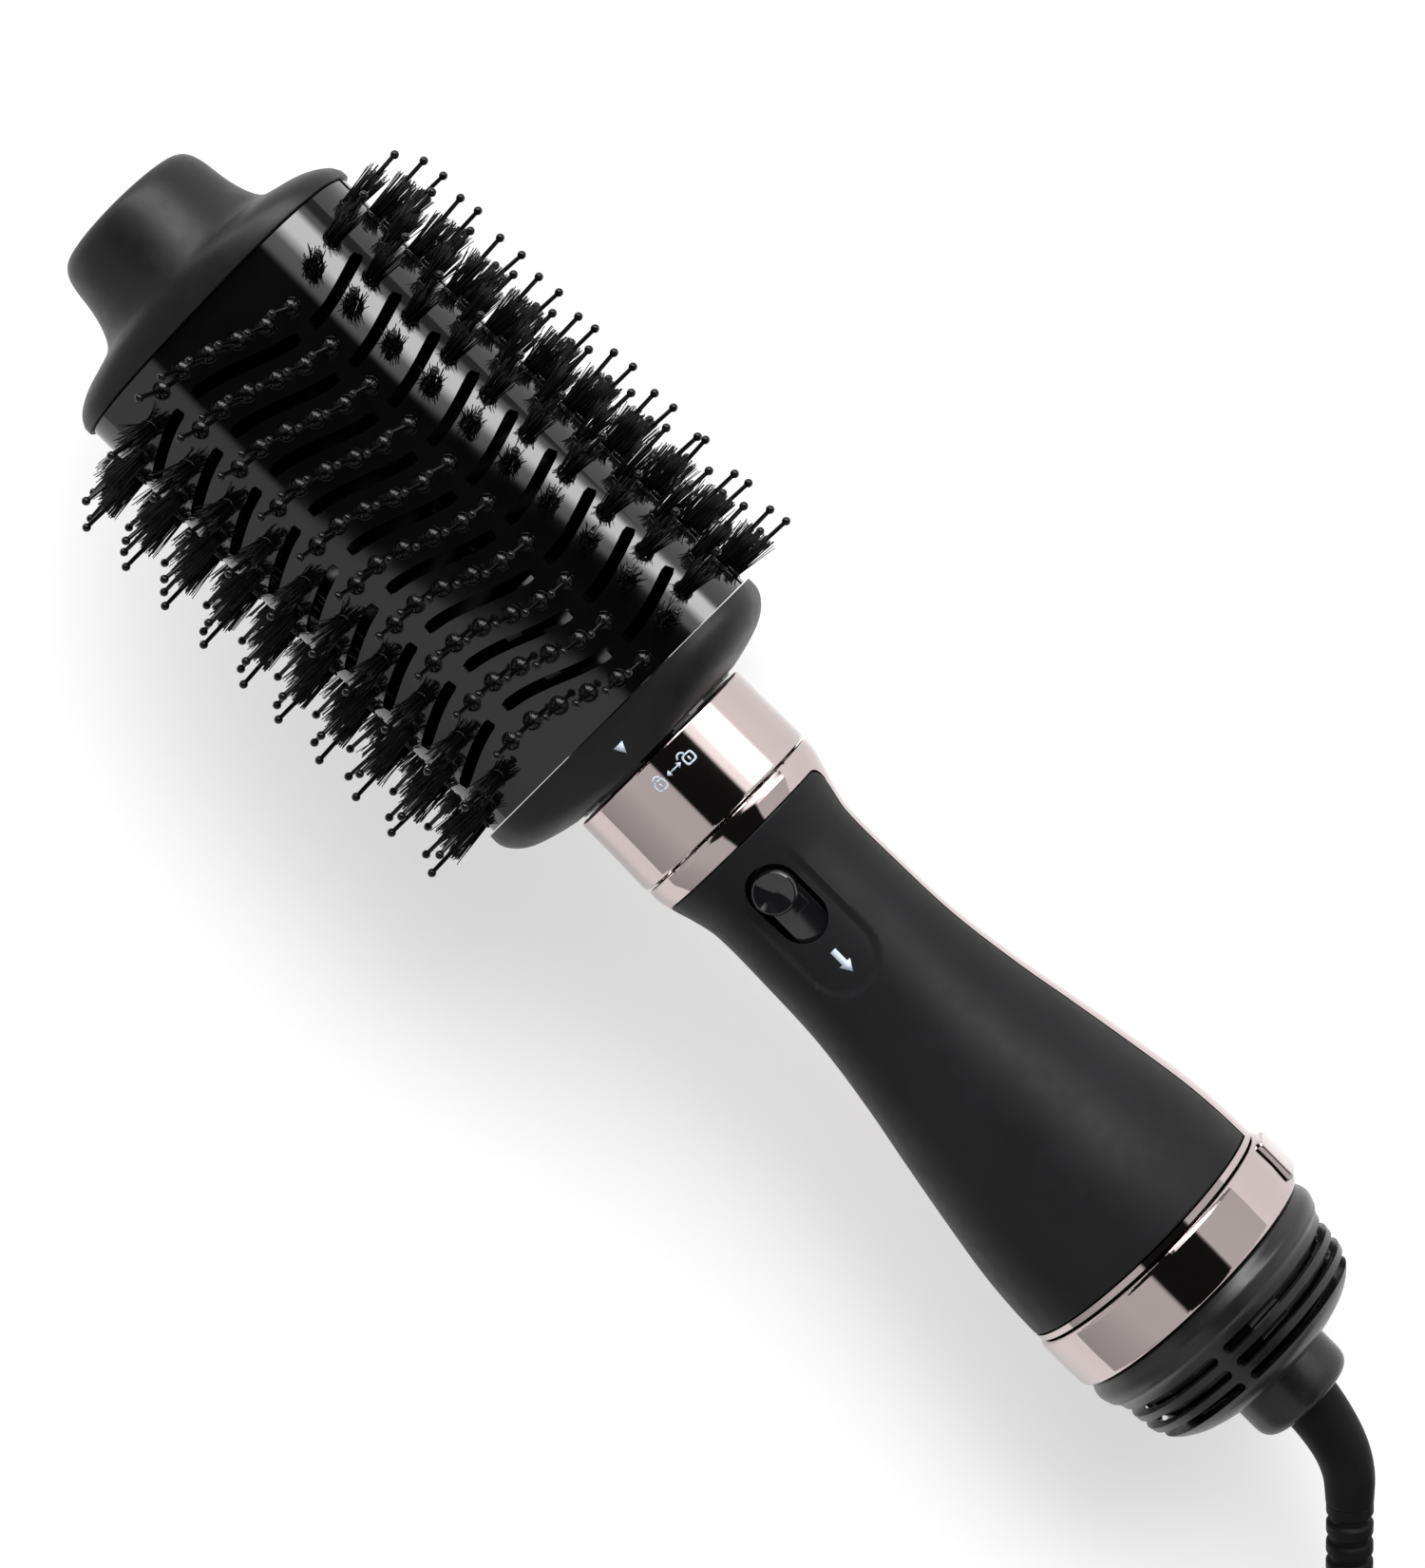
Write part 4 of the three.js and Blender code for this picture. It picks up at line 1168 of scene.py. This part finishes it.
def add_slider():
    """Release slider: a dished, faceted knob with a flat tongue behind it, on a plate under the cover."""
    start, end, knob_s = SWITCH["start"], SWITCH["end"], SWITCH["knob"]
    scale = TOOL @ Matrix.Scale(MM, 4)
    plate = new_box("plate", (-(196 + 222.5) / 2, 0, 16.5), (26.5, 9.2, 1.2), scale, 0.3)
    tongue = new_box("tongue", (-(knob_s + 213.6) / 2, 0, 17.05), (213.6 - knob_s, 6.8, 0.8), scale, 0.2)
    arm = new_box("arm", (-192.1, 0, 16.6), (9.8, 4.4, 1.0), scale, 0.2)
    post = new_box("post", (-187.9, 0, 18.65), (1.4, 4.4, 5.1), scale, 0.2)
    latch = new_box("latch", (-(167.7 + 188.6) / 2, 0, 20.75), (20.9, 4.4, 0.9), scale, 0.2)
    segments = 64
    rows = [
        (16.5, 5.0), (19.6, 5.2), (20.3, 5.1), (20.7, 4.8), (20.85, 4.5), (20.7, 4.2), (20.1, 2.6),
        (19.7, 0.3),
    ]
    vertices = []
    for z, r in rows:
        for j in range(segments):
            angle = 2 * PI * j / segments
            facet = 0.0
            if r < 4.4:
                swing = (angle / (2 * PI) * 6) % 1
                facet = 0.22 * abs(swing - 0.5) * (r / 4.2)
            vertices.append((-knob_s + r * math.cos(angle), r * math.sin(angle), z + facet))
    faces = grid_faces(len(rows), segments, False, True)
    faces += [tuple(range(segments)), tuple(range((len(rows) - 1) * segments, len(rows) * segments))]
    knob = new_object("knob", vertices, faces, sharp=25)
    parts = [outward(p) for p in (knob, plate, tongue, arm, post, latch)]
    finish(join(parts, "slider"), "release", "gloss_black", ("release_slider",))


def add_selector():
    section = [
        (319.9, 29.4), (319.9, 32.6), (320.6, 33.25), (326, 33.35), (332.7, 33.05), (333.4, 32.4),
        (333.4, 29.4),
    ]
    rows = rounded(section, 6, 0.45, 0.6, closed=True)
    ring = turned("selector", rows, segments=192)
    tab = new_box("tab", (0, 0, 0), (10.8, 10.0, 3.3), Matrix.Scale(1, 4), 0.8)
    to_side = Matrix.Rotation(PI / 2, 4, "X") @ Matrix.Translation((-326, 0, 32.65))
    tab.data.transform(TOOL @ Matrix.Scale(MM, 4) @ to_side)
    boolean(ring, [tab], "UNION", sharp=30)
    true_normals(ring, radial_normal, 7)
    finish(ring, "selector", "rose_chrome", ("selector_ring",))


def add_vent():
    """Finned air intake at the tail, with rows of slots cut between three ribs."""
    outside = [
        (313.5, 29), (333.8, 29), (333.8, 31.5), (335.2, 31.7), (336.2, 32.2), (337.4, 32.5), (338.6, 32.3),
        (339.6, 31.9), (340.4, 31.7), (341.3, 30.8), (343, 30.1), (350, 29.5), (353, 28.7), (355.5, 26.8),
        (357.7, 23.6), (359.2, 19.6), (360, 16.5),
    ]
    inside = [(360, 13.4), (357.5, 13.4), (357.3, 17), (352.6, 25.8), (349.6, 27.2), (341, 27.4), (313.5, 27)]
    rows = rounded(outside, 4, 0.45, 1.4) + rounded(inside, 3, 0.3, 0.4)
    vent = turned("vent", rows, segments=192)
    cutters = []
    for low, high in ((343.3, 345.8), (347.5, 350.0), (351.7, 354.1)):
        for k in range(3):
            cutters.append(slot_sector(low, high, k))
    boolean(vent, cutters, sharp=30)
    finish(vent, "handle", "gloss_black", ("tail_vent",), "vent_black")


def slot_sector(low, high, index):
    """Room for one third of a ring-shaped slot with round ends, between ribs 120 degrees apart."""
    rib = 2.3 / 28
    first = index * 2 * PI / 3 + rib
    last = (index + 1) * 2 * PI / 3 - rib
    steps, ends = 48, 6
    profile = [(first + (last - first) * (j / steps), 1.0) for j in range(steps + 1)]
    half = (high - low) / 2
    cap = half / 28
    quarter = [PI / 2 * k / ends for k in range(ends)]
    start = [(first - cap * math.cos(q), math.sin(q) + 0.02) for q in quarter]
    spots = start + profile + [(first + last - a, w) for a, w in reversed(start)]
    vertices = []
    middle = (low + high) / 2
    for angle, share in spots:
        h = half * min(share, 1)
        for s, r in ((middle - h, 16), (middle + h, 16), (middle + h, 36), (middle - h, 36)):
            vertices.append((-s, r * math.sin(angle), r * math.cos(angle)))
    faces = grid_faces(len(spots), 4, False, True)
    faces += [(3, 2, 1, 0), tuple(range((len(spots) - 1) * 4, len(spots) * 4))]
    return new_object("slot_room", vertices, faces, sharp=0)


def add_gland():
    section = [
        (357.1, 7.6), (357.1, 12.9), (368, 12.9), (369.6, 12.4), (370.7, 11.3), (371, 9.8), (371, 7.6),
    ]
    gland = outward(turned("gland", rounded(section, 6, 0.5, 1.6, closed=True), segments=96))
    finish(gland, "handle", "gloss_black", ("cord_gland",), "vent_black")


add_collar()
add_cover()
add_shell()
add_screws()
add_slider()
add_selector()
add_vent()
add_gland()


# ---------------------------------------------------------------- printed marks

def mark(name, body, strokes, place_at):
    """Printed marks. Each stroke is an outline of [along, across] in millimetres, laid by place_at."""
    vertices, faces = [], []
    for outline in strokes:
        count = len(outline)
        offset = len(vertices)
        for proud in (0.0, 0.05):
            vertices.extend(place_at(a, b, proud) for a, b in outline)
        faces.append(tuple(offset + i for i in range(count)))
        faces.append(tuple(offset + count + i for i in reversed(range(count))))
        for i in range(count):
            j = (i + 1) % count
            faces.append((offset + j, offset + i, offset + count + i, offset + count + j))
    thing = outward(new_object(name, vertices, faces, sharp=0))
    thing.data.materials.append(MATERIALS["print_grey"])
    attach(thing, body)
    return thing


def surface_point(thing, station, y, across=(0, 0, 1), proud=0.0):
    """The point of a piece's outside at a station, seen along a direction, a little proud of it."""
    to_tool = TOOL.inverted()
    view = Vector(across).normalized()
    side = Vector((1, 0, 0)).cross(view)
    start = Vector((-station * MM, 0, 0)) + view * 0.08 - side * y * MM
    hit, place, _, _ = thing.ray_cast(TOOL @ start, TOOL.to_3x3() @ -view)
    if not hit:
        raise ValueError(f"no surface at station {station}")
    return (to_tool @ place) / MM + view * proud


def on_piece(thing, station, turn_degrees=0.0, scale=1.0):
    """Lays a mark on a piece, its middle turned round the axis from the front towards -y."""
    turn = math.radians(turn_degrees)
    view = (0, -math.sin(turn), math.cos(turn))

    def place(a, b, proud):
        return surface_point(thing, station + scale * a, scale * b, view, proud)
    return place


def arc_stroke(radius, width, start, end, steps=14, centre=(0, 0)):
    outer, inner = [], []
    for i in range(steps + 1):
        angle = math.radians(start + (end - start) * i / steps)
        for points, r in ((outer, radius), (inner, radius - width)):
            points.append((centre[0] + r * math.cos(angle), centre[1] + r * math.sin(angle)))
    return outer + inner[::-1]


def padlock(swing):
    """A padlock drawn with its shackle along -along, open if swung across."""
    outer = rounded([(-0.6, -1.2), (1.5, -1.2), (1.5, 1.2), (-0.6, 1.2)], 4, 0.45, 0.7, closed=True)
    inner = [np.array([0.45, 0.0]) + (p - np.array([0.45, 0.0])) * 0.68 for p in outer]
    count = len(outer)
    body = [[outer[i], outer[(i + 1) % count], inner[(i + 1) % count], inner[i]] for i in range(count)
            if np.linalg.norm(outer[i] - outer[(i + 1) % count]) > 1e-6]
    keyhole = [(0.1, -0.18), (0.85, -0.18), (0.85, 0.18), (0.1, 0.18)]
    shackle = arc_stroke(0.9, 0.32, 90, 270, 12, (-0.6, swing))
    return body + [keyhole, shackle]


def add_marks():
    collar, cap, cover = (bpy.data.objects[n] for n in ("collar", "cap_rear", "grip_cover"))
    mark("mark_locked", "handle", padlock(0), on_piece(collar, 172.1, 0, 1.25))
    mark("mark_unlocked", "handle", padlock(0.95), on_piece(collar, 172.1, 20.4, 1.25))
    shaft = [(-0.15, -1.1), (0.15, -1.1), (0.15, 1.1), (-0.15, 1.1)]
    tips = [[(-0.7, 1.0), (0.7, 1.0), (0.0, 1.9)], [(0.7, -1.0), (-0.7, -1.0), (0.0, -1.9)]]
    mark("mark_turn", "handle", [shaft] + tips, on_piece(collar, 172.1, 10.7, 1.1))
    mark("mark_index", "head", [[(-1.2, -1.35), (-1.2, 1.35), (1.3, 0.0)]], on_piece(cap, 161.1))
    arrow = [(-3.1, -0.75), (0.6, -0.75), (0.6, -1.6), (3.2, 0.0), (0.6, 1.6), (0.6, 0.75), (-3.1, 0.75)]
    mark("mark_slide", "handle", [arrow], on_piece(cover, 227.5))


add_marks()


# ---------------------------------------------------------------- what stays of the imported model

def paint_nodes():
    """The inside pieces keep their shape and get their material."""
    by_node = {part["node"]: part["material_slot"] for part in frame["record"]["subparts"]}
    for name, node in frame["nodes"].items():
        if node.hide_render:
            continue
        node.data.materials.clear()
        node.data.materials.append(MATERIALS[by_node[name]])


paint_nodes()


# ---------------------------------------------------------------- floor and light

def add_floor():
    """Pale floor that gives off some light of its own, a little under the lowest bristle."""
    half, depth = 40.0, 0.0003
    mesh = bpy.data.meshes.new("floor")
    corners = [(-half, -half, -depth), (half, -half, -depth), (half, half, -depth), (-half, half, -depth)]
    mesh.from_pydata(corners, [], [(0, 1, 2, 3)])
    floor = bpy.data.objects.new("floor", mesh)
    bpy.context.scene.collection.objects.link(floor)
    nodes = Nodes("floor_white")
    nodes.shader.inputs["Base Color"].default_value = (0.55, 0.55, 0.55, 1)
    nodes.shader.inputs["Roughness"].default_value = 0.9
    nodes.shader.inputs["Specular IOR Level"].default_value = 0.1
    nodes.shader.inputs["Emission Color"].default_value = (1, 1, 1, 1)
    nodes.shader.inputs["Emission Strength"].default_value = 0.5
    mesh.materials.append(nodes.material)


# Brightness of the sky at degrees round the tool's axis, from the camera's side towards -y
SKY_BANDS = (
    (-180, 0.5), (-100, 0.5), (-75, 0.6), (-50, 0.76), (-20, 0.74), (-17, 0.01), (29, 0.01), (33, 1.6),
    (42, 1.8),
    (52, 10.5), (67, 10.5), (75, 1.8), (80, 1.6), (85, 0.3), (98, 0.3), (103, 0.7), (180, 0.5),
)


def add_sky():
    """Studio round the tool: bright walls and a softbox on the -y side, and a dark strip overhead."""
    world = bpy.data.worlds.new("studio")
    bpy.context.scene.world = world
    world.use_nodes = True
    tree = world.node_tree
    tree.nodes.clear()
    place = tree.nodes.new("ShaderNodeTexCoord").outputs["Generated"]
    side = HEAD_WAY.cross(VIEW_OUT).normalized()

    def dot(direction):
        node = tree.nodes.new("ShaderNodeVectorMath")
        node.operation = "DOT_PRODUCT"
        node.inputs[1].default_value = direction
        tree.links.new(place, node.inputs[0])
        return node.outputs["Value"]

    angle = tree.nodes.new("ShaderNodeMath")
    angle.operation = "ARCTAN2"
    tree.links.new(dot(side), angle.inputs[0])
    tree.links.new(dot(VIEW_OUT), angle.inputs[1])
    # The strip hangs nearer the head than the neck, so directions towards the head meet it sooner
    drift = tree.nodes.new("ShaderNodeMapRange")
    drift.inputs["From Max"].default_value = 0.08
    drift.inputs["To Max"].default_value = math.radians(23)
    tree.links.new(dot(HEAD_WAY), drift.inputs["Value"])
    moved = tree.nodes.new("ShaderNodeMath")
    tree.links.new(angle.outputs[0], moved.inputs[0])
    tree.links.new(drift.outputs[0], moved.inputs[1])
    share = tree.nodes.new("ShaderNodeMapRange")
    share.inputs["From Min"].default_value = -PI
    share.inputs["From Max"].default_value = PI
    tree.links.new(moved.outputs[0], share.inputs["Value"])
    ramp = tree.nodes.new("ShaderNodeValToRGB")
    elements = ramp.color_ramp.elements
    top = max(v for _, v in SKY_BANDS)
    for i, (degrees, value) in enumerate(SKY_BANDS):
        spot = (degrees + 180) / 360
        element = elements[i] if i < 2 else elements.new(spot)
        element.position = spot
        element.color = (value / top, value / top, value / top, 1)
    tree.links.new(share.outputs[0], ramp.inputs[0])
    # The softbox stands beside the head, so directions towards the tail meet less of it
    limit = tree.nodes.new("ShaderNodeMapRange")
    limit.inputs["From Min"].default_value = -0.1
    limit.inputs["From Max"].default_value = -0.03
    limit.inputs["To Min"].default_value = 0.75 / top
    tree.links.new(dot(HEAD_WAY), limit.inputs["Value"])
    glow = tree.nodes.new("ShaderNodeMath")
    glow.operation = "MINIMUM"
    tree.links.new(ramp.outputs[0], glow.inputs[0])
    tree.links.new(limit.outputs[0], glow.inputs[1])
    background = tree.nodes.new("ShaderNodeBackground")
    background.inputs["Strength"].default_value = top
    tree.links.new(glow.outputs[0], background.inputs["Color"])
    final = tree.nodes.new("ShaderNodeOutputWorld")
    tree.links.new(background.outputs[0], final.inputs["Surface"])


add_floor()
add_sky()
bpy.context.scene.view_settings.view_transform = "Standard"
